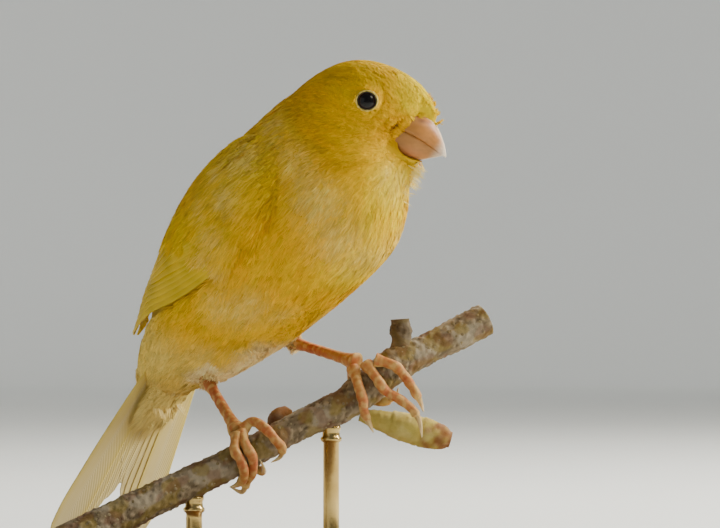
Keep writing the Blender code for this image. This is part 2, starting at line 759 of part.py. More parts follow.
def primary_vanes(side):
    vanes = []
    for number, tip in enumerate(PRIMARY_TIPS):
        root = PRIMARY_ROOT - PRIMARY_ROOT_STEP * number
        places = np.linspace(root, tip, 1 + math.ceil((root - tip) / PRIMARY_STATION))
        lie = sample(PRIMARY_LIE, places)
        breadths = np.array([wing_span(along)[2] for along in places])
        shares = 1.0 - (lie[:, 0] + lie[:, 1] * number) / breadths
        vanes.append(wing_vane(side, places, shares, lie[:, 2], PRIMARY_HALF_WIDTH))
    return vanes


def row_vanes(side, row):
    count, stations, root, tips, root_shares, tip_shares, half_width, lifts = WING_ROWS[row]
    vanes = []
    for number in range(count):
        t = number / (count - 1)
        tip = tips[0] + (tips[1] - tips[0]) * t * t
        places = np.linspace(root, tip, stations)
        first = root_shares[0] + (root_shares[1] - root_shares[0]) * t
        second = tip_shares[0] + (tip_shares[1] - tip_shares[0]) * t
        shares = np.linspace(first, second, stations)
        vanes.append(wing_vane(side, places, shares, np.linspace(*lifts, stations), half_width))
    return vanes


def make_wing(name, side):
    """A folded wing on the trunk: its shoulder, with the flight feathers and their coverts in tiers."""
    rings = []
    for along in np.linspace(WING_CORE_END, WING_SECTIONS[0][0], WING_RINGS):
        upper, lower, height = sample(WING_SECTIONS, along)[0]
        turns = upper + (lower - upper) * np.linspace(*WING_CORE_TURNS, WING_CORE_POINTS)
        bow = np.sin(np.linspace(0.0, math.pi, WING_CORE_POINTS)) ** WING_ROUNDNESS
        heights = GAP + height * (WING_RIM + (1.0 - WING_RIM) * bow)
        outer = [trunk_point(along, turn, side, lift) for turn, lift in zip(turns, heights)]
        inner = [trunk_point(along, turn, side, -WING_SUNK) for turn in turns[::-1]]
        rings.append(outer + inner)
    wing = loft(name, rings, "feather")
    vanes = primary_vanes(side)
    for row in WING_ROWS:
        vanes += row_vanes(side, row)
    combine(wing, vanes, "UNION")
    return combine(wing, [make_trunk("room", GAP)], "DIFFERENCE")


def tail_vanes():
    forward, left, up = frame_of(TRUNK_HEADING, TAIL_PITCH)
    root = trunk_place(TAIL_ROOT, TAIL_RISE)
    vanes = []
    for number in range(TAIL_COUNT):
        share = 2.0 * number / (TAIL_COUNT - 1) - 1.0
        angle = TAIL_SPREAD * share
        length = TAIL_INNER + (TAIL_OUTER - TAIL_INNER) * abs(share) ** TAIL_NOTCH
        way = (-forward * math.cos(angle) + left * math.sin(angle)) * length - up * TAIL_SAG * abs(share)
        start = root + left * TAIL_ROOT_HALF_WIDTH * share
        centres = [start + way * t for t in np.linspace(0.0, 1.0, TAIL_STATIONS)]
        tilt = TAIL_TILT if share < 0 else -TAIL_TILT
        vanes.append(make_vane("vane", centres, [up] * len(centres), TAIL_HALF_WIDTH, tilt, "tail"))
    for count, near, far, half_breadth, half_width, heights in TAIL_COVERTS.values():
        for share in np.linspace(-1.0, 1.0, count):
            start = root - forward * near + left * half_breadth * share + up * heights[0]
            reach = far - TAIL_COVERT_STEP * abs(share)
            end = root - forward * reach + left * half_breadth * TAIL_COVERT_FAN * share + up * heights[1]
            centres = [start + (end - start) * t for t in np.linspace(0.0, 1.0, TAIL_COVERT_STATIONS)]
            tilt = TAIL_TILT * (-1 if share >= 0 else 1) * (1 if heights[0] > 0 else -1)
            vanes.append(make_vane("vane", centres, [up] * len(centres), half_width, tilt, "tail"))
    return vanes


def make_tail():
    """The tail feathers as a fan of vanes, with their coverts over and under the root."""
    forward, left, up = frame_of(TRUNK_HEADING, TAIL_PITCH)
    root = trunk_place(TAIL_ROOT, TAIL_RISE)
    rings = []
    for distance, half_width, height, depth in TAIL_CORE:
        rings.append([
            root - forward * distance + left * half_width * math.cos(a)
            + up * (height if math.sin(a) > 0 else depth) * math.sin(a)
            for a in np.linspace(0.0, 2 * math.pi, TAIL_CORE_SIDES, endpoint=False)
        ])
    tail = loft("tail", rings, "tail")
    combine(tail, tail_vanes(), "UNION")
    return combine(tail, [make_trunk("room", GAP)], "DIFFERENCE")


def branch_at(places):
    """Middle and radius of the branch, at shares of its length."""
    rows = np.array(BRANCH_LINE)
    steps = np.concatenate(([0.0], np.cumsum(np.linalg.norm(np.diff(rows[:, :3], axis=0), axis=1))))
    table = np.column_stack((steps / steps[-1], rows))
    found = sample(table, places)
    return found[:, :3], found[:, 3]


def branch_frame(place):
    """Middle, radius, direction, front and top of the branch at a share of its length."""
    points, radii = branch_at([place - BRANCH_STEP, place, place + BRANCH_STEP])
    along = unit(points[2] - points[0])
    top = unit(np.array((0.0, 0.0, 1.0)) - along * along[2])
    front = np.cross(top, along)
    if front[1] > 0:
        front = -front
    return points[1], radii[1], along, front, top


def make_perch():
    line, radii = branch_at(np.linspace(0.0, 1.0, BRANCH_RINGS))
    perch = loft("perch", tube_rings(line, radii, BRANCH_SIDES), "bark")
    return combine(perch, make_stubs(), "UNION")


def make_stubs():
    stubs = []
    for start, end, radii in STUBS:
        start, end = np.array(start), np.array(end)
        line = [start + (end - start) * t for t in np.linspace(0.0, 1.0, len(radii))]
        stubs.append(loft("stub", tube_rings(line, radii, STUB_SIDES), "bark", (True, True)))
    return stubs


def on_branch(along, turn, lift):
    """A point over the bark: metres along the branch, and degrees round it from its top to the front."""
    middle, radius, direction, front, top = branch_frame(along)
    angle = math.radians(turn)
    return middle + (radius + lift) * (math.cos(angle) * top + math.sin(angle) * front)


def branch_length():
    points = branch_at(np.linspace(0.0, 1.0, 200))[0]
    return float(np.linalg.norm(np.diff(points, axis=0), axis=1).sum())


def sole_place(word):
    leg = LEGS[word]
    return on_branch(leg["foot"], leg["turn"], leg["lift"])


def make_shank(name, word, grown=0.0, kind="leg"):
    """The bare leg from the heel to the sole."""
    heel, sole = np.array(LEGS[word]["heel"]), sole_place(word)
    shares, swell = np.array(SHANK_SWELL).T
    line = [heel + (sole - heel) * t for t in shares]
    shank = loft(name, tube_rings(line, SHANK_RADIUS * swell + grown, SHANK_SIDES), kind)
    ball = make_ball("sole", sole, SOLE_RADIUS + grown, kind, SHANK_SIDES)
    combine(shank, [ball], "UNION")
    return shank if grown else combine(shank, [make_trunk("room", GAP)], "DIFFERENCE")


def make_thigh(name, word):
    """The feathered thigh, from the belly down to the heel."""
    heel, sole = np.array(LEGS[word]["heel"]), sole_place(word)
    hip = np.array(THIGHS[word]["hip"])
    end = heel + (sole - heel) * THIGH_END
    shares = np.linspace(0.0, 1.0, THIGH_RINGS)
    line = sample([(0.0, *hip), (THIGH_HEEL, *heel), (1.0, *end)], shares)
    radii = THIGH_END_RADIUS + (THIGHS[word]["hip_radius"] - THIGH_END_RADIUS) * (1 - shares) ** THIGH_TAPER
    thigh = loft(name, tube_rings(line, radii, THIGH_SIDES), "feather", (True, False))
    return combine(thigh, [make_trunk("room", GAP), make_shank("room", word, GAP)], "DIFFERENCE")


def digit_line(word, number):
    joints = DIGITS[word][number]
    size = branch_length()
    points = [on_branch(LEGS[word]["foot"] + along / size, turn, lift) for along, turn, lift in joints]
    table = [(i / (len(points) - 1), *point) for i, point in enumerate(points)]
    return sample(table, np.linspace(0.0, 1.0, DIGIT_STEPS))


def make_toe(name, word, number, grown=0.0):
    line = digit_line(word, number)
    count = round(DIGIT_STEPS * TOE_SHARE[number])
    radii = TOE_RADIUS * np.linspace(1.0, TOE_END, count) + grown
    return loft(name, tube_rings(line[:count], radii, DIGIT_SIDES), "leg")


def make_claw(name, word, number):
    line = digit_line(word, number)
    count = round(DIGIT_STEPS * TOE_SHARE[number])
    line = line[count - 1:]
    way = unit(line[1] - line[0])
    line[0] = line[0] + way * GAP
    radii = CLAW_RADIUS * np.linspace(1.0, CLAW_END, len(line)) ** CLAW_TAPER
    return loft(name, tube_rings(line, radii, CLAW_SIDES), "claw")


def make_foot(word):
    """Four toes round the branch, kept clear of the sole and of each other."""
    made = []
    for number in (2, 1, 3, 0):
        toe = make_toe(f"toe_{word}_{number + 1}", word, number)
        cutters = [make_shank("room", word, GAP)]
        cutters += [make_toe("room", word, other, GAP) for other in made]
        for cutter in cutters:
            combine(toe, [cutter], "DIFFERENCE")
        made.append(number)
        make_claw(f"claw_{word}_{number + 1}", word, number)


def make_stand():
    shape = bmesh.new()
    bmesh.ops.create_cone(
        shape,
        cap_ends=True,
        segments=BASE_SIDES,
        radius1=BASE_RADIUS,
        radius2=BASE_RADIUS,
        depth=BASE_HEIGHT,
    )
    bmesh.ops.translate(shape, verts=shape.verts, vec=(0.0, 0.0, BASE_HEIGHT / 2))
    top = [edge for edge in shape.edges if all(v.co.z > BASE_HEIGHT / 2 for v in edge.verts)]
    bmesh.ops.bevel(shape, geom=top, offset=BASE_ROUND, segments=2, affect="EDGES", profile=0.6)
    mesh = bpy.data.meshes.new("stand_base")
    shape.to_mesh(mesh)
    shape.free()
    mesh.materials.append(finish("base"))
    base = bpy.data.objects.new("stand_base", mesh)
    bpy.context.scene.collection.objects.link(base)
    for number, place in enumerate(ROD_PLACES, 1):
        middle = branch_frame(place)[0]
        heights = np.linspace(BASE_HEIGHT + GAP, middle[2], ROD_RINGS)
        line = [(middle[0], middle[1], height) for height in heights]
        rod = loft(f"stand_rod_{number}", tube_rings(line, [ROD_RADIUS] * ROD_RINGS, ROD_SIDES), "rod")
        points, radii = branch_at(np.linspace(0.0, 1.0, BRANCH_RINGS))
        room = loft("room", tube_rings(points, radii + GAP, BRANCH_SIDES), "bark")
        combine(rod, [room], "DIFFERENCE")


def main():
    clear_scene()
    make_torso()
    make_neck()
    make_head()
    make_mandible("bill_upper", "upper")
    make_mandible("bill_lower", "lower")
    for side, word in ((-1, "right"), (1, "left")):
        make_ball(f"eye_{word}", eye_place(side), EYE_RADIUS)
        make_wing(f"wing_{word}", side)
        make_shank(f"shank_{word}", word)
        make_thigh(f"thigh_{word}", word)
        make_foot(word)
    make_tail()
    make_perch()
    make_stand()


main()
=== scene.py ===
import math

import bmesh
import bpy
import numpy as np
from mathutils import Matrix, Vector
from mathutils.bvhtree import BVHTree


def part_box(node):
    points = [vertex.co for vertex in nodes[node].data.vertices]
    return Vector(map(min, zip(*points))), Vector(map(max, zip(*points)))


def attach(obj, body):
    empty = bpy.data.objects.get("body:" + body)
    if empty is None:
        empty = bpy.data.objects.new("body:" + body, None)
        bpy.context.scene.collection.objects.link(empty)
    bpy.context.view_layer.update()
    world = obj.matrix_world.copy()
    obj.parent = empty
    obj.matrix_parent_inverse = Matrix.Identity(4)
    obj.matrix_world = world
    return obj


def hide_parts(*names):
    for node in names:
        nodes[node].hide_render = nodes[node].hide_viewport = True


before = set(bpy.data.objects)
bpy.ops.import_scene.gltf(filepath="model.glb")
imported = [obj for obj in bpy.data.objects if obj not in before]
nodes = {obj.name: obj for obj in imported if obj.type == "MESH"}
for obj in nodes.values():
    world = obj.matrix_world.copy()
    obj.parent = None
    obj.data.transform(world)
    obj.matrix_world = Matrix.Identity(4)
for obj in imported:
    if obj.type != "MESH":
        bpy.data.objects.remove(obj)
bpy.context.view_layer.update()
mm = 0.001
seed = 11

# Set of the body, as in the solids
trunk = {"middle": (0.0, -6.0 * mm, 72.8 * mm), "heading": 38.0, "pitch": 46.0}
trunkSections = (
    (-40.0, 1.2, 4.0, 2.6),
    (-37.0, 1.0, 7.0, 4.8),
    (-33.0, 0.8, 9.2, 6.8),
    (-28.0, 0.6, 11.4, 8.8),
    (-21.0, 0.4, 14.5, 12.2),
    (-13.3, 0.0, 16.5, 14.6),
    (-5.5, 0.0, 18.0, 16.6),
    (3.3, -0.5, 19.0, 18.2),
    (13.3, -1.7, 19.0, 18.7),
    (18.5, -2.2, 18.3, 18.7),
    (24.0, -1.8, 16.6, 17.4),
    (29.0, -1.0, 14.2, 16.1),
    (34.0, 0.0, 10.6, 13.2),
    (37.0, 1.4, 7.8, 9.6),
    (40.0, 2.0, 4.0, 5.0),
)
headPose = {"middle": (20.8 * mm, -20.5 * mm, 98.6 * mm), "heading": 6.0, "pitch": -20.0}
billPose = {"tip": (35.7 * mm, -22.3 * mm, 90.8 * mm), "heading": 6.0, "pitch": -33.7}
tailPose = {"root": -30.0, "rise": 1.0, "pitch": 58.0}


def say(stage, count=""):
    print("stage:", stage, count)


def frameOf(heading, pitch):
    heading, pitch = math.radians(heading), math.radians(pitch)
    forward = np.array((
        math.cos(pitch) * math.cos(heading), -math.cos(pitch) * math.sin(heading), math.sin(pitch),
    ))
    left = np.array((math.sin(heading), math.cos(heading), 0.0))
    return forward, left, np.cross(forward, left)


def sample(rows, places):
    rows = np.array(sorted(rows, key=lambda row: row[0]), float)
    known, values = rows[:, 0], rows[:, 1:]
    steps = np.diff(known)[:, None]
    slopes = np.diff(values, axis=0) / steps
    tangents = np.vstack((slopes[:1], (slopes[1:] + slopes[:-1]) / 2, slopes[-1:]))
    places = np.clip(np.atleast_1d(places), known[0], known[-1])
    index = np.clip(np.searchsorted(known, places) - 1, 0, len(known) - 2)
    span = steps[index]
    t = (places - known[index])[:, None] / span
    return (
        (2 * t**3 - 3 * t**2 + 1) * values[index]
        + (t**3 - 2 * t**2 + t) * span * tangents[index]
        + (3 * t**2 - 2 * t**3) * values[index + 1]
        + (t**3 - t**2) * span * tangents[index + 1]
    )


def unit(vectors):
    return vectors / np.maximum(np.linalg.norm(vectors, axis=-1, keepdims=True), 1e-12)


def smoothStep(start, end, values):
    t = np.clip((values - start) / (end - start), 0.0, 1.0)
    return t * t * (3 - 2 * t)


def mix(first, second, weight):
    weight = np.asarray(weight)[..., None]
    return np.asarray(first) * (1 - weight) + np.asarray(second) * weight


def roundTurns(count):
    return np.linspace(0, 2 * math.pi, count, endpoint=False)


def travelled(line):
    # Distance along a line of points at each of them
    return np.concatenate(([0.0], np.cumsum(np.linalg.norm(np.diff(line, axis=0), axis=1))))


def ringWays(turns, first, second):
    # Directions round a line, for each of its points and each turn
    return np.cos(turns)[None, :, None] * first[:, None] + np.sin(turns)[None, :, None] * second[:, None]


def softNoise(points, size, key):
    # A smooth random field between about 0 and 1, from waves in many directions
    random = np.random.default_rng(key)
    ways = unit(random.normal(size=(14, 3))) * (2 * math.pi / size) * random.uniform(0.6, 1.5, (14, 1))
    waves = np.sin(points @ ways.T + random.uniform(0, 2 * math.pi, 14))
    return np.clip(0.5 + waves.sum(1) / 9.0, 0.0, 1.0)


trunkAxis, trunkLeft, trunkUp = frameOf(trunk["heading"], trunk["pitch"])
trunkMiddle = np.array(trunk["middle"])
headForward, headLeft, headUp = frameOf(headPose["heading"], headPose["pitch"])
headMiddle = np.array(headPose["middle"])
billForward, billLeft, billUp = frameOf(billPose["heading"], billPose["pitch"])
billTip = np.array(billPose["tip"])
billBase = billTip - billForward * 9.5 * mm
tailForward, tailLeft, tailUp = frameOf(trunk["heading"], tailPose["pitch"])


def trunkPlace(along, rise=0.0, aside=0.0):
    return trunkMiddle + mm * (trunkAxis * along + trunkUp * rise + trunkLeft * aside)


tailRoot = trunkPlace(tailPose["root"], tailPose["rise"])


def trunkPoint(along, turn, side, lift=0.0):
    rise, halfWidth, halfDepth = sample(trunkSections, along)[0]
    angle = math.radians(turn)
    return trunkPlace(
        along, rise + (halfDepth + lift) * math.cos(angle), side * (halfWidth + lift) * math.sin(angle)
    )


def trunkCoordinates(points):
    # Along the trunk in mm, degrees from the back, and the side, +1 on the bird's left
    local = (points - trunkMiddle) / mm
    along = local @ trunkAxis
    rise = sample(trunkSections, along)[:, 0]
    aside = local @ trunkLeft
    turn = np.degrees(np.arctan2(np.abs(aside), local @ trunkUp - rise))
    return along, turn, np.where(aside > 0, 1.0, -1.0)


def nodeMiddle(name):
    low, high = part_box(name)
    return np.array((low + high) / 2)


eyeMiddles = {-1: nodeMiddle("eye_right"), 1: nodeMiddle("eye_left")}


def eyeDirection(side):
    return unit(headLeft * side + headUp * 0.16 + headForward * 0.12)


def nearestEye(points):
    return np.minimum(*(np.linalg.norm(points - eyeMiddles[side], axis=1) for side in (-1, 1))) / mm


# Mesh making

def placed(name, data):
    item = bpy.data.objects.new(name, data)
    bpy.context.scene.collection.objects.link(item)
    return item


def vertexArray(mesh, label="co"):
    values = np.empty((len(mesh.vertices), 3))
    mesh.vertices.foreach_get(label, values.ravel())
    return values


def meshObject(name, points, faces, uvs=None, colours=None, smooth=True):
    # faces: arrays of corner numbers with the same count of corners in each array
    mesh = bpy.data.meshes.new(name)
    points = np.asarray(points, np.float32)
    mesh.vertices.add(len(points))
    mesh.vertices.foreach_set("co", points.ravel())
    corners = np.concatenate([np.asarray(group, np.int32).ravel() for group in faces if len(group)])
    counts = np.concatenate(
        [np.full(len(group), np.asarray(group).shape[1], np.int32) for group in faces if len(group)]
    )
    mesh.loops.add(len(corners))
    mesh.loops.foreach_set("vertex_index", corners)
    mesh.polygons.add(len(counts))
    mesh.polygons.foreach_set("loop_start", np.concatenate(([0], np.cumsum(counts)[:-1])).astype(np.int32))
    mesh.polygons.foreach_set("loop_total", counts)
    mesh.update(calc_edges=True)
    mesh.validate()
    for label, values in (uvs or {}).items():
        layer = mesh.uv_layers.new(name=label)
        layer.data.foreach_set("uv", np.asarray(values, np.float32)[corners].ravel())
    for label, values in (colours or {}).items():
        attribute = mesh.attributes.new(label, "FLOAT_COLOR", "POINT")
        values = np.column_stack((values, np.ones(len(values)))).astype(np.float32)
        attribute.data.foreach_set("color", values.ravel())
    mesh.polygons.foreach_set("use_smooth", np.full(len(counts), smooth))
    return placed(name, mesh)


def gridFaces(rows, columns, start=0):
    # Quads over rows of points, outward where the columns turn anticlockwise seen from the last row
    i, j = np.meshgrid(np.arange(rows - 1), np.arange(columns), indexing="ij")
    here, onward, k = i * columns, (i + 1) * columns, (j + 1) % columns
    return start + np.stack((here + j, here + k, onward + k, onward + j), -1).reshape(-1, 4)


def closedTube(name, rings, colours=None):
    # A tube of rings with a point closing each end; colours give each attribute ring by ring
    rings = np.asarray(rings, float)
    rows, columns = rings.shape[:2]
    points = np.vstack((rings.reshape(-1, 3), rings[0].mean(0), rings[-1].mean(0)))
    ring = np.arange(columns)
    following = (ring + 1) % columns
    lastRow = (rows - 1) * columns
    first = np.stack((following, ring, np.full(columns, rows * columns)), 1)
    last = np.stack((lastRow + ring, lastRow + following, np.full(columns, rows * columns + 1)), 1)
    extended = {}
    for label, values in (colours or {}).items():
        values = np.asarray(values, float).reshape(rows, columns, 3)
        extended[label] = np.vstack((values.reshape(-1, 3), values[0].mean(0), values[-1].mean(0)))
    item = meshObject(name, points, [gridFaces(rows, columns), first, last], None, extended)
    facedOut(item)
    return item


def facedOut(item):
    shape = bmesh.new()
    shape.from_mesh(item.data)
    bmesh.ops.recalc_face_normals(shape, faces=shape.faces)
    shape.to_mesh(item.data)
    shape.free()


def lineFrames(line):
    # Direction, side and up along a line of points, kept from twisting
    line = np.asarray(line, float)
    along = unit(np.gradient(line, axis=0))
    side = np.cross(along[0], (0.0, 0.0, 1.0))
    if np.linalg.norm(side) < 0.1:
        side = np.cross(along[0], (0.0, 1.0, 0.0))
    sides = []
    for direction in along:
        side = unit(side - direction * np.dot(side, direction))
        sides.append(side)
    sides = np.array(sides)
    return along, sides, np.cross(sides, along)


def applied(item):
    bpy.context.view_layer.update()
    graph = bpy.context.evaluated_depsgraph_get()
    mesh = bpy.data.meshes.new_from_object(item.evaluated_get(graph))
    item.modifiers.clear()
    item.data = mesh
    return item


# Materials

inputNames = {
    "specular": "Specular IOR Level", "subsurface": "Subsurface Weight", "reach": "Subsurface Radius",
    "reachScale": "Subsurface Scale", "coat": "Coat Weight", "coatRoughness": "Coat Roughness",
    "glow": "Emission Strength",
}


def newMaterial(name):
    made = bpy.data.materials.new(name)
    made.use_nodes = True
    return made, made.node_tree.nodes, made.node_tree.links, made.node_tree.nodes["Principled BSDF"]


def setInputs(node, **values):
    for label, value in values.items():
        node.inputs[inputNames.get(label, label.capitalize())].default_value = value


def attributeColour(nodeList, attribute="tint"):
    node = nodeList.new("ShaderNodeAttribute")
    node.attribute_name = attribute
    return node.outputs["Color"]


def mathNode(nodeList, links, operation, *values):
    node = nodeList.new("ShaderNodeMath")
    node.operation = operation
    for socket, value in zip(node.inputs, values):
        if isinstance(value, bpy.types.NodeSocket):
            links.new(value, socket)
        else:
            socket.default_value = value
    return node.outputs["Value"]


def noiseNode(nodeList, links, coordinates, scale, detail=6.0, stretch=None):
    node = nodeList.new("ShaderNodeTexNoise")
    setInputs(node, scale=scale, detail=detail)
    if stretch:
        mapping = nodeList.new("ShaderNodeMapping")
        mapping.inputs["Scale"].default_value = stretch
        links.new(coordinates, mapping.inputs["Vector"])
        coordinates = mapping.outputs["Vector"]
    links.new(coordinates, node.inputs["Vector"])
    return node


def mixNode(nodeList, links, blend, factor, first, second):
    node = nodeList.new("ShaderNodeMix")
    node.data_type = "RGBA"
    node.blend_type = blend
    colourInputs = [socket for socket in node.inputs if socket.type == "RGBA"]
    factorInput = [socket for socket in node.inputs if socket.type == "VALUE"][0]
    for socket, value in ((factorInput, factor), (colourInputs[0], first), (colourInputs[1], second)):
        if isinstance(value, bpy.types.NodeSocket):
            links.new(value, socket)
        elif socket.type == "RGBA":
            socket.default_value = (*value, 1.0)
        else:
            socket.default_value = value
    return [socket for socket in node.outputs if socket.type == "RGBA"][0]


def plumageMaterial(name):
    made, nodeList, links, shader = newMaterial(name)
    links.new(attributeColour(nodeList), shader.inputs["Base Color"])
    setInputs(shader, roughness=0.62, specular=0.05)
    return made


def rampNode(nodeList, links, source, stops):
    node = nodeList.new("ShaderNodeValToRGB")
    elements = node.color_ramp.elements
    while len(elements) < len(stops):
        elements.new(0.5)
    for element, (place, colour) in zip(elements, stops):
        element.position = place
        element.color = (*colour, 1.0)
    links.new(source, node.inputs["Fac"])
    return node.outputs["Color"]


def bumpNode(nodeList, links, height, strength, distance, shader):
    node = nodeList.new("ShaderNodeBump")
    setInputs(node, strength=strength, distance=distance)
    links.new(height, node.inputs["Height"])
    links.new(node.outputs["Normal"], shader.inputs["Normal"])


def wire(tree, *joins):
    # Each join: a node, its output, the node it feeds and that node's input
    for giver, output, taker, socket in joins:
        tree.links.new(giver.outputs[output], taker.inputs[socket])


def mottleTree():
    # Soft mottling and a fine grain, shared by horn, skin and bark
    tree = bpy.data.node_groups.new("mottle", "ShaderNodeTree")
    for label, kind in (("Place", "Vector"), ("Stretch", "Vector"), ("Scale", "Float")):
        tree.interface.new_socket(label, in_out="INPUT", socket_type="NodeSocket" + kind)
    for label in ("Share", "Height"):
        tree.interface.new_socket(label, in_out="OUTPUT", socket_type="NodeSocketFloat")
    add = tree.nodes.new
    given, result = add("NodeGroupInput"), add("NodeGroupOutput")
    drawn, finer = add("ShaderNodeVectorMath"), add("ShaderNodeMath")
    broad, fine, spread = add("ShaderNodeTexNoise"), add("ShaderNodeTexNoise"), add("ShaderNodeMapRange")
    drawn.operation = finer.operation = "MULTIPLY"
    finer.inputs[1].default_value = 2.7
    broad.inputs["Detail"].default_value = 5.0
    fine.inputs["Detail"].default_value = 4.0
    spread.inputs["From Min"].default_value = 0.3
    spread.inputs["From Max"].default_value = 0.7
    wire(
        tree, (given, "Place", drawn, 0), (given, "Stretch", drawn, 1), (given, "Scale", broad, "Scale"),
        (given, "Scale", finer, 0), (finer, "Value", fine, "Scale"), (drawn, "Vector", broad, "Vector"),
        (drawn, "Vector", fine, "Vector"), (broad, "Fac", spread, "Value"),
        (spread, "Result", result, "Share"), (fine, "Fac", result, "Height"),
    )
    return tree


mottle = mottleTree()


def mottleNode(nodeList, links, scale, stretch=None):
    node = nodeList.new("ShaderNodeGroup")
    node.node_tree = mottle
    setInputs(node, scale=scale, stretch=stretch or (1.0, 1.0, 1.0))
    links.new(nodeList.new("ShaderNodeTexCoord").outputs["Object"], node.inputs["Place"])
    return node


def hornMaterial(name, dark, light, roughness, grain, subsurface=0.15, **others):
    # Keratin: mottled, with a little translucent gloss
    made, nodeList, links, shader = newMaterial(name)
    node = mottleNode(nodeList, links, grain)
    links.new(
        mixNode(nodeList, links, "MIX", node.outputs["Share"], dark, light), shader.inputs["Base Color"],
    )
    setInputs(
        shader, roughness=roughness, subsurface=subsurface, reach=(0.0012, 0.0006, 0.0003), reachScale=1.0,
    )
    setInputs(shader, **others)
    bumpNode(nodeList, links, node.outputs["Height"], 0.25, 0.1 * mm, shader)
    return made


say("helpers ready")


# Camera at the photograph's angle, floor and lights

cameraSet = {"distance": 1000 * mm, "height": 70 * mm, "across": 19 * mm, "lens": 250.0, "sensor": 36.0}

cameraData = bpy.data.cameras.new("camera")
cameraData.lens = cameraSet["lens"]
cameraData.sensor_width = cameraSet["sensor"]
cameraData.clip_start = 10 * mm
camera = placed("camera", cameraData)
camera.location = (cameraSet["across"], -cameraSet["distance"], cameraSet["height"])
camera.rotation_euler = (math.pi / 2, 0.0, 0.0)
bpy.context.scene.camera = camera


# The floor, in metres: how far it lies flat, the bend up to the wall, the wall's top, and its light
bowl = {
    "flat": 1.9, "bend": 0.8, "top": 2.4, "columns": 72, "glow": 0.30, "glowColour": (0.80, 0.81, 0.78),
    "tones": ((0.2, (0.79, 0.80, 0.77)), (0.8, (0.84, 0.85, 0.82))),
}


def makeFloor():
    # Pale round floor; behind the bird it sweeps up, well beyond the camera, into a wall that glows softly
    profile = [(0.01, 0.0), (0.5, 0.0), (1.2, 0.0), (bowl["flat"], 0.0)]
    for angle in np.linspace(0, math.pi / 2, 13)[1:]:
        profile.append(
            (bowl["flat"] + bowl["bend"] * math.sin(angle), bowl["bend"] * (1 - math.cos(angle)))
        )
    profile.append((bowl["flat"] + bowl["bend"], bowl["top"]))
    profile = np.array(profile)
    turns = roundTurns(bowl["columns"])
    behind = smoothStep(-0.1, 0.5, np.sin(turns))
    reach = profile[:, :1]
    points = np.stack((reach * np.cos(turns), reach * np.sin(turns), profile[:, 1:] * behind), -1)
    centre = len(profile) * len(turns)
    following = np.roll(np.arange(len(turns)), -1)
    middle = np.stack((np.arange(len(turns)), following, np.full(len(turns), centre)), 1)
    glow = smoothStep(
        bowl["flat"] - 0.9, bowl["flat"] + 0.5, profile[:, 0],
    )[:, None] * behind * bowl["glow"]
    glow = np.append(glow.ravel(), 0.0)[:, None] * np.array(bowl["glowColour"])
    points = np.vstack((points.reshape(-1, 3), (0.0, 0.0, 0.0)))
    floor = meshObject(
        "floor", points, [gridFaces(len(profile), len(turns))[:, ::-1], middle], None, {"glow": glow},
    )
    made, nodeList, links, shader = newMaterial("paleFloor")
    coordinates = nodeList.new("ShaderNodeTexCoord").outputs["Object"]
    cloud = noiseNode(nodeList, links, coordinates, 3.0)
    pale = rampNode(nodeList, links, cloud.outputs["Fac"], bowl["tones"])
    links.new(pale, shader.inputs["Base Color"])
    links.new(attributeColour(nodeList, "glow"), shader.inputs["Emission Color"])
    setInputs(shader, glow=1.0, roughness=0.85)
    floor.data.materials.append(made)


def addLight(name, place, target, power, size, colour):
    data = bpy.data.lights.new(name, "AREA")
    data.energy = power
    data.size = size
    data.color = colour
    item = placed(name, data)
    item.location = place
    item.rotation_euler = (Vector(target) - Vector(place)).to_track_quat("-Z", "Y").to_euler()


# Each light: place in metres, power, size, colour
lights = {
    "key": ((0.75, -0.35, 0.80), 2.2, 0.35, (1.0, 0.94, 0.82)),
    "fill": ((-0.75, -0.85, 0.35), 1.3, 0.9, (0.96, 0.97, 1.0)),
    "rim": ((0.92, 0.14, 0.58), 17.0, 0.28, (1.0, 0.96, 0.86)),
    "crest": ((0.38, 0.62, 0.78), 12.0, 0.30, (1.0, 0.97, 0.90)),
}
lightTarget = (10 * mm, 0.0, 70 * mm)
makeFloor()
for lightName, (lightPlace, lightPower, lightSize, lightColour) in lights.items():
    addLight(lightName, lightPlace, lightTarget, lightPower, lightSize, lightColour)
world = bpy.data.worlds.new("softRoom")
bpy.context.scene.world = world
world.use_nodes = True
setInputs(world.node_tree.nodes["Background"], color=(0.86, 0.90, 0.94, 1.0), strength=0.21)
say("stage ready")


# Plumage colours, linear

plumage = {
    "gold": (0.78, 0.44, 0.002),
    # the next tone is painted shade, used to darken the lore
    "shadedGold": (0.56, 0.24, 0.001),
    "green": (0.78, 0.50, 0.006),
    "lemon": (0.95, 0.70, 0.003),
    "frost": (0.92, 0.68, 0.16),
    "cream": (0.96, 0.74, 0.36),
    "pale": (0.78, 0.57, 0.12),
    "buff": (0.88, 0.74, 0.36),
}

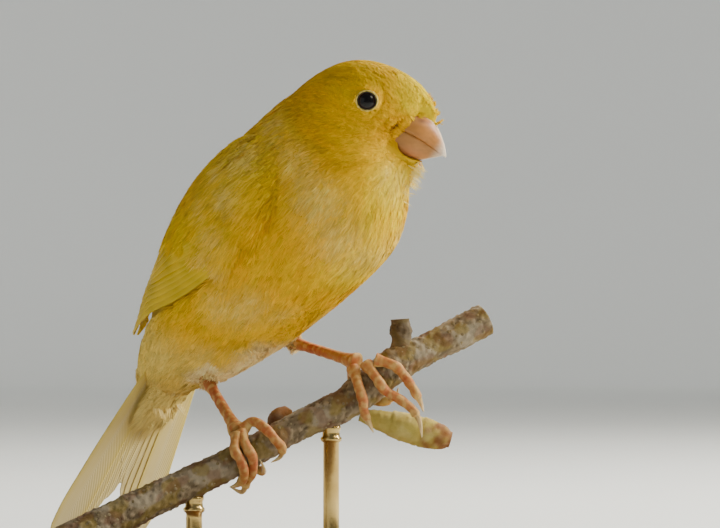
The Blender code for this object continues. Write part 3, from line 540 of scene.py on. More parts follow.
# Frosted patches: along the trunk and degrees from the back, their reach, and how strong
frostPatches = (
    (28.5, 60.0, 3.0, 30.0, 0.8),
    (28.5, 100.0, 3.2, 26.0, 0.8),
    (26.0, 128.0, 4.2, 20.0, 0.95),
    (22.5, 150.0, 4.6, 18.0, 0.95),
    (20.0, 172.0, 4.6, 16.0, 0.8),
    (21.2, 65.0, 4.0, 15.0, 0.8),
    (15.2, 77.0, 3.5, 13.0, 0.7),
    (16.3, 58.0, 4.0, 10.0, 0.6),
    (9.0, 68.0, 3.0, 12.0, 0.45),
    (1.5, 98.0, 3.5, 10.0, 0.8),
    (7.5, 90.0, 3.5, 9.0, 0.6),
    (-6.0, 88.0, 3.0, 9.0, 0.5),
    (-1.8, 133.0, 5.5, 14.0, 0.85),
    (-0.5, 156.0, 4.0, 10.0, 0.5),
    (-4.5, 119.0, 4.0, 11.0, 0.8),
    (-22.5, 76.0, 4.0, 14.0, 0.6),
    (-24.8, 108.0, 6.0, 22.0, 0.9),
    (-19.2, 132.0, 5.0, 14.0, 0.9),
    (-14.0, 163.0, 5.0, 22.0, 0.7),
    (-27.5, 148.0, 5.0, 30.0, 0.9),
)

hips = {-1: np.array((-3.0, -8.0, 56.0)) * mm, 1: np.array((4.0, 2.0, 62.0)) * mm}
heels = {-1: np.array((-11.6, -2.2, 46.9)) * mm, 1: np.array((5.2, 4.0, 54.4)) * mm}


def segmentDistance(points, first, last):
    way = last - first
    share = np.clip((points - first) @ way / (way @ way), 0.0, 1.0)
    return np.linalg.norm(points - first - share[:, None] * way, axis=1) / mm


def regionWeights(points):
    along, turn, side = trunkCoordinates(points)
    reach = np.linalg.norm(points - headMiddle, axis=1) / mm
    thigh = np.minimum(
        *(segmentDistance(points, hips[s] * 0.45 + heels[s] * 0.55, heels[s]) for s in (-1, 1))
    )
    return {
        "along": along,
        "turn": turn,
        "side": side,
        "head": 1 - smoothStep(12.0, 18.5, reach),
        "tail": smoothStep(24.0, 37.0, -along),
        "thigh": (1 - smoothStep(2.8, 4.8, thigh)) * (1 - smoothStep(2.0, 6.0, along)),
        "seat": smoothStep(149.0, 160.0, turn) * smoothStep(-26.0, -21.0, along) * (
            1 - smoothStep(-13.0, -8.5, along)
        ),
        "eye": nearestEye(points),
        "bill": np.linalg.norm(points - billBase, axis=1) / mm,
        "face": (points - headMiddle) @ headForward / mm,
        "rise": (points - headMiddle) @ headUp / mm,
    }


def markings(points):
    # Base colour of the plumage and how frosted its feather tips are
    w = regionWeights(points)
    along, turn = w["along"], w["turn"]
    side = smoothStep(70.0, 112.0, turn)
    colour = mix(plumage["green"], plumage["gold"], side)
    frost = np.zeros(len(points))
    for place, angle, reachAlong, reachRound, strength in frostPatches:
        distance = ((along - place) / reachAlong) ** 2 + ((turn - angle) / reachRound) ** 2
        frost = np.maximum(frost, strength * np.exp(-distance))
    ruff = smoothStep(140.0, 172.0, turn) * smoothStep(8.0, 16.0, along)
    colour = mix(colour, plumage["lemon"], 0.55 * ruff)
    crown = smoothStep(0.0, 7.5, w["rise"]) * (1 - smoothStep(-2.0, 5.0, w["face"]))
    headColour = mix(plumage["gold"], plumage["green"], 0.75 * crown)
    # painted highlight: the very top of the head is lightened towards lemon where the light grazes it
    top = smoothStep(8.4, 10.6, w["rise"])
    forehead = smoothStep(5.0, 9.5, w["face"] + 0.35 * w["rise"]) * smoothStep(1.5, 4.5, w["rise"])
    headColour = mix(headColour, plumage["lemon"], np.maximum(0.9 * forehead, 0.5 * top))
    # painted shade: the lore before the eye is darkened
    lore = np.exp(-(((w["face"] - 7.0) / 3.0) ** 2) - ((w["rise"] + 0.8) / 2.4) ** 2)
    headColour = mix(headColour, plumage["shadedGold"], 0.4 * lore)
    throat = smoothStep(3.0, 8.0, w["face"]) * smoothStep(3.5, 8.0, -w["rise"])
    headColour = mix(headColour, plumage["lemon"], 0.8 * throat)
    chin = smoothStep(4.5, 9.0, w["face"]) * smoothStep(4.5, 8.0, -w["rise"])
    colour = mix(colour, headColour, w["head"])
    frost = np.maximum(frost * (1 - w["head"] * 0.85), 0.7 * chin * w["head"])
    colour = mix(colour, plumage["pale"], 0.75 * smoothStep(12.0, 26.0, -along))
    colour = mix(colour, plumage["buff"], smoothStep(28.0, 40.0, -along))
    frost = np.maximum(frost, 0.55 * smoothStep(30.0, 40.0, -along))
    colour = mix(colour, plumage["cream"], np.maximum(w["thigh"], 0.85 * w["seat"]))
    frost = np.maximum(frost, 0.9 * w["thigh"]) * (1 - 0.9 * np.maximum(w["thigh"], w["seat"]))
    return colour, np.clip(frost, 0.0, 1.0), w


def lieNoise(points, w, key, across, along):
    # A random field drawn out along the lie of the feathers, in mm across and along it
    way = points - billBase
    around = np.arctan2(way @ headLeft, way @ headUp) * 9.0
    head = np.stack((around / across, w["bill"] / along, np.zeros(len(points))), 1)
    body = np.stack((w["side"] * w["turn"] * 0.31 / across, w["along"] / along, w["side"] * 5.0), 1)
    return np.where(w["head"] > 0.5, softNoise(head, 1.0, key), softNoise(body, 1.0, key))


# The bill's form, which the skin of the face meets

bill = {
    "sections": (
        (0.0, 0.25, 0.30, 0.10),
        (0.8, 0.90, 1.30, 0.90),
        (1.8, 1.50, 2.20, 1.80),
        (3.1, 2.20, 3.20, 3.00),
        (4.5, 2.80, 4.05, 3.80),
        (6.0, 3.50, 4.65, 4.50),
        (9.0, 4.30, 4.70, 5.30),
        (13.0, 4.70, 4.60, 5.60),
    ),
    "rows": 60, "sides": 30, "inner": 8, "length": 12.4, "lowerStart": 0.7, "inset": 0.93,
    "mouthRise": 0.34,
    "mouthCorner": 9.1, "nostrilBack": 7.6, "nostrilTurn": 46.0,
    # where the feathers of the face begin: degrees round from the culmen, mm back from the tip
    "featherEdge": (
        (0, 7.0), (10, 8.1), (43, 8.5), (54, 8.6), (68, 8.8), (84, 8.9), (99, 9.4),
        (115, 9.8), (132, 9.8), (141, 9.2),
        (146, 7.5), (153, 6.0), (163, 5.2), (180, 4.1),
    ),
    # how far out the skin of the face is drawn in to the bill, 1 on the bill's surface
    "drawnWithin": (
        (0, 1.12), (12, 1.16), (30, 1.9), (50, 2.3), (95, 2.4), (112, 2.1), (130, 1.4), (180, 1.3),
    ),
}


def billPlace(points):
    # How far back from the tip in mm, degrees round from the culmen, and how far out, 1 on the surface
    local = (points - billTip) / mm
    back = -(local @ billForward)
    half, height, depth = sample(bill["sections"], back).T
    rise = local @ billUp
    tall = rise / np.where(rise > 0, height, depth)
    wide = np.abs(local @ billLeft) / half
    return back, np.degrees(np.arctan2(wide, tall)), np.hypot(wide, tall)


def beforeFace(points):
    # mm in front of the edge of the face feathers, and whether near enough to the bill to matter
    back, turn, out = billPlace(points)
    ahead = sample(bill["featherEdge"], turn)[:, 0] - back
    limit = sample(bill["drawnWithin"], turn)[:, 0]
    soft = 0.06 + 0.30 * smoothStep(10.0, 40.0, turn)
    return ahead, (1 - smoothStep(-soft - 0.1, soft, out - limit)) * (back > -2.0), out, back, turn


# The skin: one body under all the feathers

coat = {"voxel": 0.5 * mm, "grown": 0.35 * mm, "body": 1.05, "head": 0.5, "bare": 0.05}
tailCore = (
    (3.0, 6.4, 4.0, 4.0),
    (6.5, 6.0, 2.6, 2.8),
    (10.0, 4.8, 1.1, 1.3),
    (14.0, 3.2, 0.3, 0.4),
)
fleshNodes = ("head", "neck", "torso", "thigh_left", "thigh_right")


def coatDepth(points):
    w = regionWeights(points)
    depth = coat["body"] + (coat["head"] - coat["body"]) * w["head"]
    near = np.minimum(smoothStep(3.0, 6.5, w["eye"]), smoothStep(4.5, 8.5, w["bill"]))
    return coat["bare"] + (depth - coat["bare"]) * near


def makeTailCore():
    rings = []
    for distance in np.linspace(3.0, 14.0, 9):
        half, height, depth = sample(tailCore, distance)[0]
        angles = roundTurns(20)
        across = np.cos(angles)[:, None] * tailLeft * half
        tall = np.sin(angles)
        tall = (np.where(tall > 0, height, depth) * tall)[:, None] * tailUp
        rings.append(tailRoot - tailForward * distance * mm + (across + tall) * mm)
    return closedTube("tailCore", rings)


def makeSkin():
    joined = bmesh.new()
    for name in fleshNodes:
        part = bmesh.new()
        part.from_mesh(nodes[name].data)
        bmesh.ops.remove_doubles(part, verts=part.verts, dist=1e-7)
        part.normal_update()
        for vertex in part.verts:
            vertex.co += vertex.normal * coat["grown"]
        mesh = bpy.data.meshes.new(name)
        part.to_mesh(mesh)
        part.free()
        joined.from_mesh(mesh)
    core = makeTailCore()
    joined.from_mesh(core.data)
    bpy.data.objects.remove(core)
    mesh = bpy.data.meshes.new("skin")
    joined.to_mesh(mesh)
    joined.free()
    skin = placed("skin", mesh)
    remesh = skin.modifiers.new("even", "REMESH")
    remesh.mode = "VOXEL"
    remesh.voxel_size = coat["voxel"]
    relax = skin.modifiers.new("relax", "SMOOTH")
    relax.factor = 0.5
    relax.iterations = 8
    applied(skin)
    mesh = skin.data
    points, normals = vertexArray(mesh), vertexArray(mesh, "normal")
    depth = coatDepth(points) * mm + coat["grown"]
    points -= normals * depth[:, None]
    for s in (-1, 1):
        # the thigh narrows to the top of the shank
        way = heels[s] - hips[s]
        share = np.clip((points - hips[s]) @ way / (way @ way), 0.0, 0.9)
        narrow = 0.6 * (1 - smoothStep(2.0, 6.0, np.linalg.norm(points - heels[s], axis=1) / mm))
        points += (hips[s] + share[:, None] * way - points) * narrow[:, None]
    ahead, near, out, back, turn = beforeFace(points)
    slope = 1.8 + 2.6 * np.exp(-(((turn - 72.0) / 30.0) ** 2))
    drawn = smoothStep(
        0.0, 1.0, (ahead + slope) / (slope + 0.3),
    ) * near * np.clip(1 - 0.9 / np.maximum(out, 0.9), 0, 1)
    axis = billTip - billForward * back[:, None] * mm
    points += (axis - points) * drawn[:, None]
    mesh.vertices.foreach_set("co", points.astype(np.float32).ravel())
    colour, frost, _ = markings(points)
    # painted shade: the skin takes the markings' colour, a little frosted, darkened by 0.8 where it lies
    # under the feathers
    colour = mix(colour, plumage["frost"], frost * 0.6) * 0.8
    attribute = mesh.attributes.new("tint", "FLOAT_COLOR", "POINT")
    attribute.data.foreach_set(
        "color", np.column_stack((colour, np.ones(len(colour)))).astype(np.float32).ravel(),
    )
    mesh.polygons.foreach_set("use_smooth", np.full(len(mesh.polygons), True))
    mesh.update()
    return skin


skin = makeSkin()
say("skin faces", len(skin.data.polygons))
coatMaterial = plumageMaterial("plumage")
skin.data.materials.append(coatMaterial)
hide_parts(*fleshNodes)
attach(skin, "root")


# Body feathers: fine barbed tufts that follow the lie of the coat

tufts = {
    "count": 70000,
    "barbs": 6,
    "length": 4.8,
    "width": 1.9,
    "wingLength": 5.6,
    "wingWidth": 2.8,
    "thighLength": 3.0,
    "headLength": 2.7,
    "headWidth": 1.1,
    "faceLength": 1.5,
    "faceWidth": 0.7,
    "headDensity": 2.4,
    "piece": 190000,
}


def meshArrays(item):
    mesh = item.data
    mesh.calc_loop_triangles()
    points = vertexArray(mesh)
    triangles = np.empty((len(mesh.loop_triangles), 3), np.int32)
    mesh.loop_triangles.foreach_get("vertices", triangles.ravel())
    return points, triangles


skinPoints, skinTriangles = meshArrays(skin)
skinTree = BVHTree.FromPolygons(skinPoints.tolist(), skinTriangles.tolist())


def onSkin(points):
    found = [skinTree.find_nearest(point) for point in points.tolist()]
    return np.array([hit[0] for hit in found]), np.array([hit[1] for hit in found])


def flowAt(points, normals):
    w = regionWeights(points)
    away = unit(points - (billBase + billForward * 1.5 * mm))
    fromEye = np.zeros_like(points)
    for s in (-1, 1):
        distance = np.linalg.norm(points - eyeMiddles[s], axis=1) / mm
        fromEye += unit(points - eyeMiddles[s]) * (1 - smoothStep(2.8, 4.9, distance))[:, None]
    way = mix(-np.broadcast_to(trunkAxis, points.shape), away, w["head"])
    sag = 0.28 * smoothStep(95.0, 130.0, w["turn"]) * smoothStep(-14.0, -4.0, w["along"])
    sag = sag * (1 - smoothStep(8.0, 16.0, w["along"])) * (1 - w["head"]) * (
        1 - smoothStep(140.0, 160.0, w["turn"])
    )
    way = way + np.array((0.0, 0.0, -1.0)) * sag[:, None]
    way = mix(way, -np.broadcast_to(tailForward, points.shape), w["tail"])
    legs = np.where((w["side"] < 0)[:, None], unit(heels[-1] - hips[-1]), unit(heels[1] - hips[1]))
    way = mix(way, legs, 0.9 * w["thigh"])
    way = unit(way) + fromEye * 2.4
    way = way - normals * (way * normals).sum(1)[:, None]
    return unit(way), w


def wingShare(points):
    # Where a point lies between the wing's upper edge, 0, and its lower edge, 1
    along, turn, _ = trunkCoordinates(points)
    edges = sample(wingSections, along)
    return along, (turn - edges[:, 0]) / (edges[:, 1] - edges[:, 0])


# Wing edges: along, upper and lower edge in degrees from the back
wingSections = (
    (27.0, 60.0, 76.0),
    (24.0, 48.0, 90.0),
    (18.0, 33.0, 101.0),
    (8.0, 19.0, 106.0),
    (-4.0, 10.0, 103.0),
    (-14.0, 7.0, 90.0),
    (-21.0, 7.0, 75.0),
    (-26.5, 9.0, 62.0),
    (-30.5, 16.0, 51.0),
    (-33.0, 26.0, 42.0),
)


def wingCover(points):
    # 1 where body feathers hide the front of the folded wing, 0 where the wing shows
    along, share = wingShare(points)
    inside = smoothStep(-0.02, 0.12, share) * (
        1 - smoothStep(0.95, 1.08, share)
    ) * (1 - smoothStep(19.0, 27.5, along))
    start = 4.5 - 17.0 * (1 - np.clip(share, 0, 1)) + 8.0 * (softNoise(points, 5 * mm, seed + 9) - 0.5)
    return inside, smoothStep(-3.0, 2.0, along - start)


def sampleRoots(count, key):
    random = np.random.default_rng(key)
    corners = skinPoints[skinTriangles]
    middles = corners.mean(1)
    areas = np.linalg.norm(
        np.cross(corners[:, 1] - corners[:, 0], corners[:, 2] - corners[:, 0]), axis=1,
    ) / 2
    w = regionWeights(middles)
    inside, cover = wingCover(middles)
    density = 1 + (tufts["headDensity"] - 1) * w["head"]
    density = density * (
        1 + 0.8 * (1 - smoothStep(3.0, 7.0, w["eye"])) * w["head"]
    ) * (1 + 1.6 * w["thigh"])
    density = density * (1 - np.clip(inside * (w["along"] > -32) * 1.4, 0, 1) * (1 - cover))
    density[w["eye"] < 2.7] = 0.0
    density[(tailRoot - middles) @ tailForward / mm > 12.0] = 0.0
    ahead, near = beforeFace(middles)[:2]
    density[(near > 0.4) & (ahead > -0.4)] = 0.0
    weights = areas * density
    chosen = random.choice(len(weights), count, p=weights / weights.sum())
    first, second = random.random((2, count))
    root = np.sqrt(first)
    share = np.stack((1 - root, root * (1 - second), root * second), 1)
    points = (corners[chosen] * share[:, :, None]).sum(1)
    normals = unit(
        np.cross(corners[chosen, 1] - corners[chosen, 0], corners[chosen, 2] - corners[chosen, 0])
    )
    return points, normals, random


def layOnSkin(points, normals, ways, lengths, rises):
    # Each tuft is walked over the skin in two steps, and runs straight on where the skin ends
    half = (lengths * 0.5 * mm)[:, None]
    target = points + ways * half
    middle, middleNormal = onSkin(target)
    loose = np.linalg.norm(middle - target, axis=1) > 0.55 * half[:, 0]
    middle = np.where(loose[:, None], target, middle)
    middleNormal = np.where(loose[:, None], normals, middleNormal)
    onward = unit(ways - middleNormal * (ways * middleNormal).sum(1)[:, None])
    target = middle + onward * half
    tip, tipNormal = onSkin(target)
    loose = loose | (np.linalg.norm(tip - target, axis=1) > 0.55 * half[:, 0])
    straight = middle + onward * half * 0.7
    tip = np.where(loose[:, None], straight, tip)
    tipNormal = np.where(loose[:, None], middleNormal, tipNormal)
    start = points - normals * 0.15 * mm
    tip = tip + tipNormal * (rises * mm)[:, None]
    middle = middle + middleNormal * (rises * 0.82 * mm)[:, None]
    return start, middle, tip, tipNormal, loose


def tuftGeometry(start, middle, tip, outward, widths, random, barbs, roll=0.55, barbWidth=0.075):
    count = len(start)
    control = 2 * middle - (start + tip) / 2
    sides = unit(np.cross(outward, tip - start))
    spread = np.linspace(-1.0, 1.0, barbs) + random.uniform(-0.14, 0.14, (count, barbs))
    ends = 1.0 - 0.26 * spread**2 + random.uniform(-0.14, 0.06, (count, barbs))
    roll = random.uniform(-roll, roll, (count, barbs)) + spread * 0.25
    across = sides[:, None] * np.cos(roll)[..., None] + outward[:, None] * np.sin(roll)[..., None]
    vertices = np.empty((count, barbs, 5, 3))
    shares = np.empty((count, barbs, 5))
    for station, (t, half) in enumerate(((0.0, 0.8), (0.56, 1.0), (1.0, 0.0))):
        place = (t * ends)[..., None]
        curve = (
            (1 - place) ** 2 * start[:, None] + 2 * place * (1 - place) * control[:, None]
            + place**2 * tip[:, None]
        )
        offset = spread * (widths[:, None] / 2) * (t**0.7)
        droop = -(spread**2) * widths[:, None] * 0.10 * t
        curve = (
            curve + sides[:, None] * (offset * mm)[..., None] + outward[:, None] * (droop * mm)[..., None]
        )
        if station < 2:
            reach = across * (barbWidth * mm * widths * half)[:, None, None]
            vertices[:, :, station * 2] = curve - reach
            vertices[:, :, station * 2 + 1] = curve + reach
            shares[:, :, station * 2] = shares[:, :, station * 2 + 1] = t
        else:
            vertices[:, :, 4] = curve
            shares[:, :, 4] = t
    return vertices, shares, spread


def unwrapped(points, w):
    # A place on an unwrap of the body's own shape: along it, and round it
    body = np.stack(
        (0.5 + w["side"] * w["turn"] / 180.0 * 0.47, 0.02 + (w["along"] + 46.0) / 92.0 * 0.62), 1,
    )
    way = unit(points - billBase)
    around = np.arctan2(way @ headLeft, way @ headUp) / (2 * math.pi)
    head = np.stack((0.5 + around * 0.94, 0.70 + np.clip(w["bill"] / 34.0, 0, 1) * 0.28), 1)
    return np.where((w["head"] > 0.5)[:, None], head, body)


def buildTufts(name, vertices, shares, spread, colours, uvs):
    # colours: tufts, barbs, three stations, rgb
    count, barbs = vertices.shape[:2]
    limit = tufts["piece"] // (barbs * 3)
    made = []
    for number, start in enumerate(range(0, count, limit)):
        part = slice(start, min(start + limit, count))
        points = vertices[part].reshape(-1, 3)
        size = (part.stop - part.start) * barbs
        base = np.arange(size)[:, None] * 5
        quads = base + np.array((0, 2, 3, 1))
        tips = base + np.array((2, 4, 3))
        tint = colours[part][:, :, (0, 0, 1, 1, 2), :]
        patch = uvs[part][:, None, None] + np.stack(
            (spread[part][..., None] * 0.0013 + np.zeros((1, 1, 5)), (shares[part] - 0.5) * 0.003), -1
        )
        item = meshObject(
            f"{name}{number + 1}", points, [quads, tips], {"OFBake": patch.reshape(-1, 2)},
            {"tint": tint.reshape(-1, 3)}, smooth=False,
        )
        item.data.materials.append(coatMaterial)
        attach(item, "root")
        made.append(item)
    return made


def tuftColours(points, w, random, barbs, rootShade):
    # Painted shade at the root, the marking's own colour along the vane, pale where the tips are frosted
    colour, frost, _ = markings(points)
    count = len(points)
    streak = lieNoise(points, w, seed + 1, 1.0, 7.0)
    broad = softNoise(points, 9 * mm, seed + 2)
    light = (0.80 + 0.26 * streak + 0.12 * broad) * random.uniform(0.92, 1.08, count)
    light = light[:, None] * random.uniform(0.91, 1.09, (count, barbs))
    clear = np.maximum(np.maximum(w["thigh"], w["seat"]), w["tail"])
    warm = np.array((1.0, 0.90, 0.5)) ** (
        (0.5 - lieNoise(points, w, seed + 3, 1.6, 9.0)) * (1.1 - 0.9 * clear)
    )[:, None]
    base = (colour * warm)[:, None] * light[..., None]
    pale = frost * (0.45 + 1.0 * lieNoise(points, w, seed + 4, 0.8, 8.0))
    pale = np.clip(pale[:, None] * random.uniform(0.7, 1.2, (count, barbs)), 0, 1)
    # painted shade at the root, lifted where the plumage is clear: thighs, seat and tail
    shade = mix(rootShade, (1.0, 0.98, 0.94), clear)[:, None]
    tips = mix(base * 1.08, np.array(plumage["frost"]) * light[..., None], pale)
    middle = mix(base, np.array(plumage["frost"]) * light[..., None], pale * 0.7)
    return np.clip(np.stack((base * shade, middle * 0.97, tips), 2), 0, 1)


# mm kept free of feather tips round the middle of each eye
clearance = 2.25


def clearOfEye(points):
    clear = np.full(len(points), True)
    for s in (-1, 1):
        way = points - eyeMiddles[s]
        out = eyeDirection(s)
        aside = np.linalg.norm(way - out * (way @ out)[:, None], axis=1) / mm
        clear &= (aside > clearance) | (way @ out < 0)
    return clear


def growCoat():
    count = tufts["count"] // 1
    points, normals, random = sampleRoots(count, seed)
    ways, w = flowAt(points, normals)
    inside, cover = wingCover(points)
    over = inside * cover * (w["along"] > -18)
    length = np.full(count, tufts["length"])
    width = np.full(count, tufts["width"])
    length = length + (tufts["wingLength"] - length) * over
    width = width + (tufts["wingWidth"] - width) * over
    length = length * (1 + 0.5 * w["tail"])
    length = length + (tufts["thighLength"] - length) * w["thigh"]
    nearHeel = np.minimum(*(np.linalg.norm(points - heels[s], axis=1) for s in (-1, 1))) / mm
    length = length * (0.45 + 0.55 * smoothStep(1.5, 6.0, nearHeel))
    length = length + (tufts["headLength"] - length) * w["head"]
    width = width + (tufts["headWidth"] - width) * w["head"]
    face = w["head"] * np.maximum(1 - smoothStep(3.5, 8.0, w["eye"]), 1 - smoothStep(6.0, 11.0, w["bill"]))
    length = length + (tufts["faceLength"] - length) * face
    width = width + (tufts["faceWidth"] - width) * face
    low = smoothStep(145.0, 165.0, w["turn"]) * smoothStep(-20.0, -14.0, w["along"]) * (
        1 - smoothStep(2.0, 8.0, w["along"])
    )
    length = length * (1 - 0.6 * low * (1 - w["thigh"])) * random.uniform(0.75, 1.2, count)
    rises = coatDepth(points) * random.uniform(0.7, 1.2, count) + 1.5 * over
    turn = random.normal(0.0, 0.12, count) + 0.25 * (lieNoise(points, w, seed + 5, 4.0, 6.0) - 0.5)
    sides = np.cross(normals, ways)
    ways = unit(ways * np.cos(turn)[:, None] + sides * np.sin(turn)[:, None])
    start, middle, tip, outward, loose = layOnSkin(points, normals, ways, length, rises)
    hanging = loose & (w["turn"] > 138) & (w["thigh"] < 0.3) & (w["head"] < 0.5)
    kept = clearOfEye(tip) & clearOfEye(middle) & ~hanging
    points, start, middle, tip, outward, width = (
        part[kept] for part in (points, start, middle, tip, outward, width)
    )
    w = {key: part[kept] for key, part in w.items()}
    count = len(points)
    vertices, shares, spread = tuftGeometry(start, middle, tip, outward, width, random, tufts["barbs"])
    # painted shade at the roots of the body feathers
    colours = tuftColours(points, w, random, tufts["barbs"], np.tile((0.76, 0.66, 0.52), (count, 1)))
    return buildTufts("coat", vertices, shares, spread, colours, unwrapped(points, w))


coatPieces = growCoat()
say("coat pieces", len(coatPieces))


# Folded wings: flight feathers and coverts in tiers

wingFeathers = {
    "tilt": 0.17,
    "thickness": 0.14,
    "stations": 18,
    "columns": 11,
    "camber": 0.16,
    "outline": (
        (0.0, 0.60), (0.2, 0.84), (0.4, 0.98), (0.62, 1.0), (0.82, 0.88), (0.94, 0.62), (1.0, 0.12),
    ),
    "primaryTips": (-30.2, -32.4, -33.1, -32.0, -30.2, -28.1, -25.9, -23.8, -21.8),
    "primaryRoot": 7.0,
    "primaryHalfWidth": 1.35,
    "primaryLie": (
        (7.0, 1.2, 0.6, 0.9),
        (-4.0, 1.0, 1.0, 0.9),
        (-14.0, 0.9, 1.3, 0.9),
        (-21.0, 0.8, 1.5, 1.1),
        (-26.5, 0.7, 1.4, 1.7),
        (-33.1, 0.6, 1.3, 2.6),
    ),
}

# Each tier: feathers, root, tips at the lower and upper end, root and tip shares across,
# half width, heights
wingRows = {
    "secondaries": (7, 7.0, (-17.8, -15.0), (0.90, 0.44), (0.62, 0.27), 2.1, (0.6, 1.1)),
    "tertials": (3, 7.0, (-15.8, -5.0), (0.36, 0.13), (0.215, 0.10), 2.6, (0.7, 1.3)),
    "greaterCoverts": (10, 18.0, (4.0, 4.6), (0.88, 0.16), (0.92, 0.14), 2.3, (0.0, 0.5)),
    "medianCoverts": (8, 22.5, (12.5, 13.0), (0.80, 0.22), (0.86, 0.18), 2.5, (-0.3, 0.3)),
}


def wingSpan(along):
    upper, lower = sample(wingSections, along)[0]
    halfWidth, halfDepth = sample(trunkSections, along)[0][1:]
    return upper, lower, math.radians(lower - upper) * (halfWidth + halfDepth) / 2


vaneColumns = np.sin(np.linspace(-math.pi / 2, math.pi / 2, wingFeathers["columns"]))


def bladeRings(stations, place):
    # place(t, across) gives the upper face in mm from the trunk; the lower face lies under it
    rings = []
    for t in stations:
        upper = np.array([place(t, w, 0.0) for w in vaneColumns])
        lower = np.array([place(t, w, -wingFeathers["thickness"]) for w in vaneColumns[::-1]])
        rings.append(np.vstack((upper, lower)))
    return np.array(rings)


def bladeUv(rows):
    across = (1 + np.concatenate((vaneColumns, vaneColumns[::-1]))) / 2
    u, v = np.meshgrid(across, np.linspace(0, 1, rows))
    return np.stack((u, v), -1)


def wingFeather(side, places, shares, lifts, halfWidth):
    places, shares, lifts = (np.asarray(values, float) for values in (places, shares, lifts))
    known = np.linspace(0.0, 1.0, len(places))
    table = np.column_stack((known, places, shares, lifts))

    def place(t, across, under):
        along, share, lift = sample(table, t)[0]
        upper, lower, breadth = wingSpan(along)
        width = halfWidth * float(sample(wingFeathers["outline"], t)[0][0])
        turn = upper + (lower - upper) * (share + across * width / breadth)
        crown = wingFeathers["camber"] * (1 - across * across)
        return trunkPoint(along, turn, side, lift + under + crown + across * wingFeathers["tilt"] * width)

    stations = np.linspace(0.0, 1.0, wingFeathers["stations"]) ** 0.9
    return bladeRings(stations, place)


def wingFeatherList(side):
    made = []
    for number, tip in enumerate(wingFeathers["primaryTips"]):
        places = np.linspace(wingFeathers["primaryRoot"], tip, 7)
        lie = sample(wingFeathers["primaryLie"], places)
        breadths = np.array([wingSpan(along)[2] for along in places])
        shares = 1.0 - (lie[:, 0] + lie[:, 1] * number) / breadths
        made.append(
            ("flight", wingFeather(side, places, shares, lie[:, 2], wingFeathers["primaryHalfWidth"]))
        )
    for row, (count, root, tips, rootShares, tipShares, halfWidth, lifts) in wingRows.items():
        for number in range(count):
            t = number / (count - 1)
            tip = tips[0] + (tips[1] - tips[0]) * t * t
            first = rootShares[0] + (rootShares[1] - rootShares[0]) * t
            last = tipShares[0] + (tipShares[1] - tipShares[0]) * t
            made.append((row, wingFeather(
                side, np.linspace(root, tip, 5), np.linspace(first, last, 5),
                np.linspace(*lifts, 5), halfWidth,
            )))
    return made


# Barbs of a vane: how far they slant back from the shaft, and how close they lie
vaneBarbs = {"slant": -0.22, "count": 420.0}


def vaneMaterial(name):
    # Barbs slant from the shaft, as fine lines of tone and relief
    made, nodeList, links, shader = newMaterial(name)
    uv = nodeList.new("ShaderNodeUVMap")
    uv.uv_map = "vane"
    split = nodeList.new("ShaderNodeSeparateXYZ")
    links.new(uv.outputs["UV"], split.inputs["Vector"])
    centred = mathNode(nodeList, links, "SUBTRACT", split.outputs["X"], 0.5)
    away = mathNode(nodeList, links, "ABSOLUTE", centred)
    slant = mathNode(nodeList, links, "MULTIPLY_ADD", away, vaneBarbs["slant"], split.outputs["Y"])
    wave = mathNode(
        nodeList, links, "SINE", mathNode(nodeList, links, "MULTIPLY", slant, vaneBarbs["count"]),
    )
    tone = rampNode(nodeList, links, wave, ((0.0, (0.80, 0.80, 0.80)), (1.0, (1.0, 1.0, 1.0))))
    tinted = mixNode(nodeList, links, "MULTIPLY", 0.7, attributeColour(nodeList), tone)
    links.new(tinted, shader.inputs["Base Color"])
    setInputs(shader, roughness=0.5, specular=0.1)
    bumpNode(nodeList, links, wave, 0.35, 0.06 * mm, shader)
    return made


featherMaterial = vaneMaterial("featherVane")
wingTints = {
    "flight": ((0.72, 0.48, 0.006), (0.80, 0.57, 0.03)),
    "secondaries": ((0.73, 0.47, 0.005), (0.80, 0.56, 0.025)),
    "tertials": ((0.74, 0.47, 0.005), (0.80, 0.55, 0.02)),
    "greaterCoverts": ((0.75, 0.46, 0.004), (0.81, 0.55, 0.02)),
    "medianCoverts": ((0.76, 0.45, 0.004), (0.82, 0.55, 0.02)),
}


def gatherBlades(name, blades, tintOf, replaced):
    points, faces, caps, vaneUvs, bakeUvs, tints = [], [], [], [], [], []
    start = 0
    grid = math.ceil(math.sqrt(len(blades)))
    for number, (kind, rings) in enumerate(blades):
        rows, columns = rings.shape[:2]
        half = columns // 2
        points.append(rings.reshape(-1, 3))
        faces.append(gridFaces(rows, columns, start=start)[:, ::-1])
        ends = []
        for row, order in ((0, (0, 1, 2, 3)), (rows - 1, (3, 2, 1, 0))):
            first = start + row * columns
            for j in range(half - 1):
                quad = (first + j, first + j + 1, first + columns - 2 - j, first + columns - 1 - j)
                ends.append([quad[k] for k in order])
        caps.append(np.array(ends))
        uv = bladeUv(rows)
        vaneUvs.append(uv.reshape(-1, 2))
        cell = np.array((number % grid, number // grid))
        face = np.where(np.arange(columns) < half, 0.0, 0.48)[None, :, None] * (1, 0)
        bakeUvs.append(((cell + 0.04 + uv * (0.44, 0.92) + face) / grid).reshape(-1, 2))
        tints.append(tintOf(kind, rings, uv).reshape(-1, 3))
        start += rows * columns
    item = meshObject(
        name, np.vstack(points), [np.vstack(faces), np.vstack(caps)],
        {"OFBake": np.vstack(bakeUvs), "vane": np.vstack(vaneUvs)}, {"tint": np.vstack(tints)},
    )
    facedOut(item)
    item.data.materials.append(featherMaterial)
    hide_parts(replaced)
    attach(item, "root")


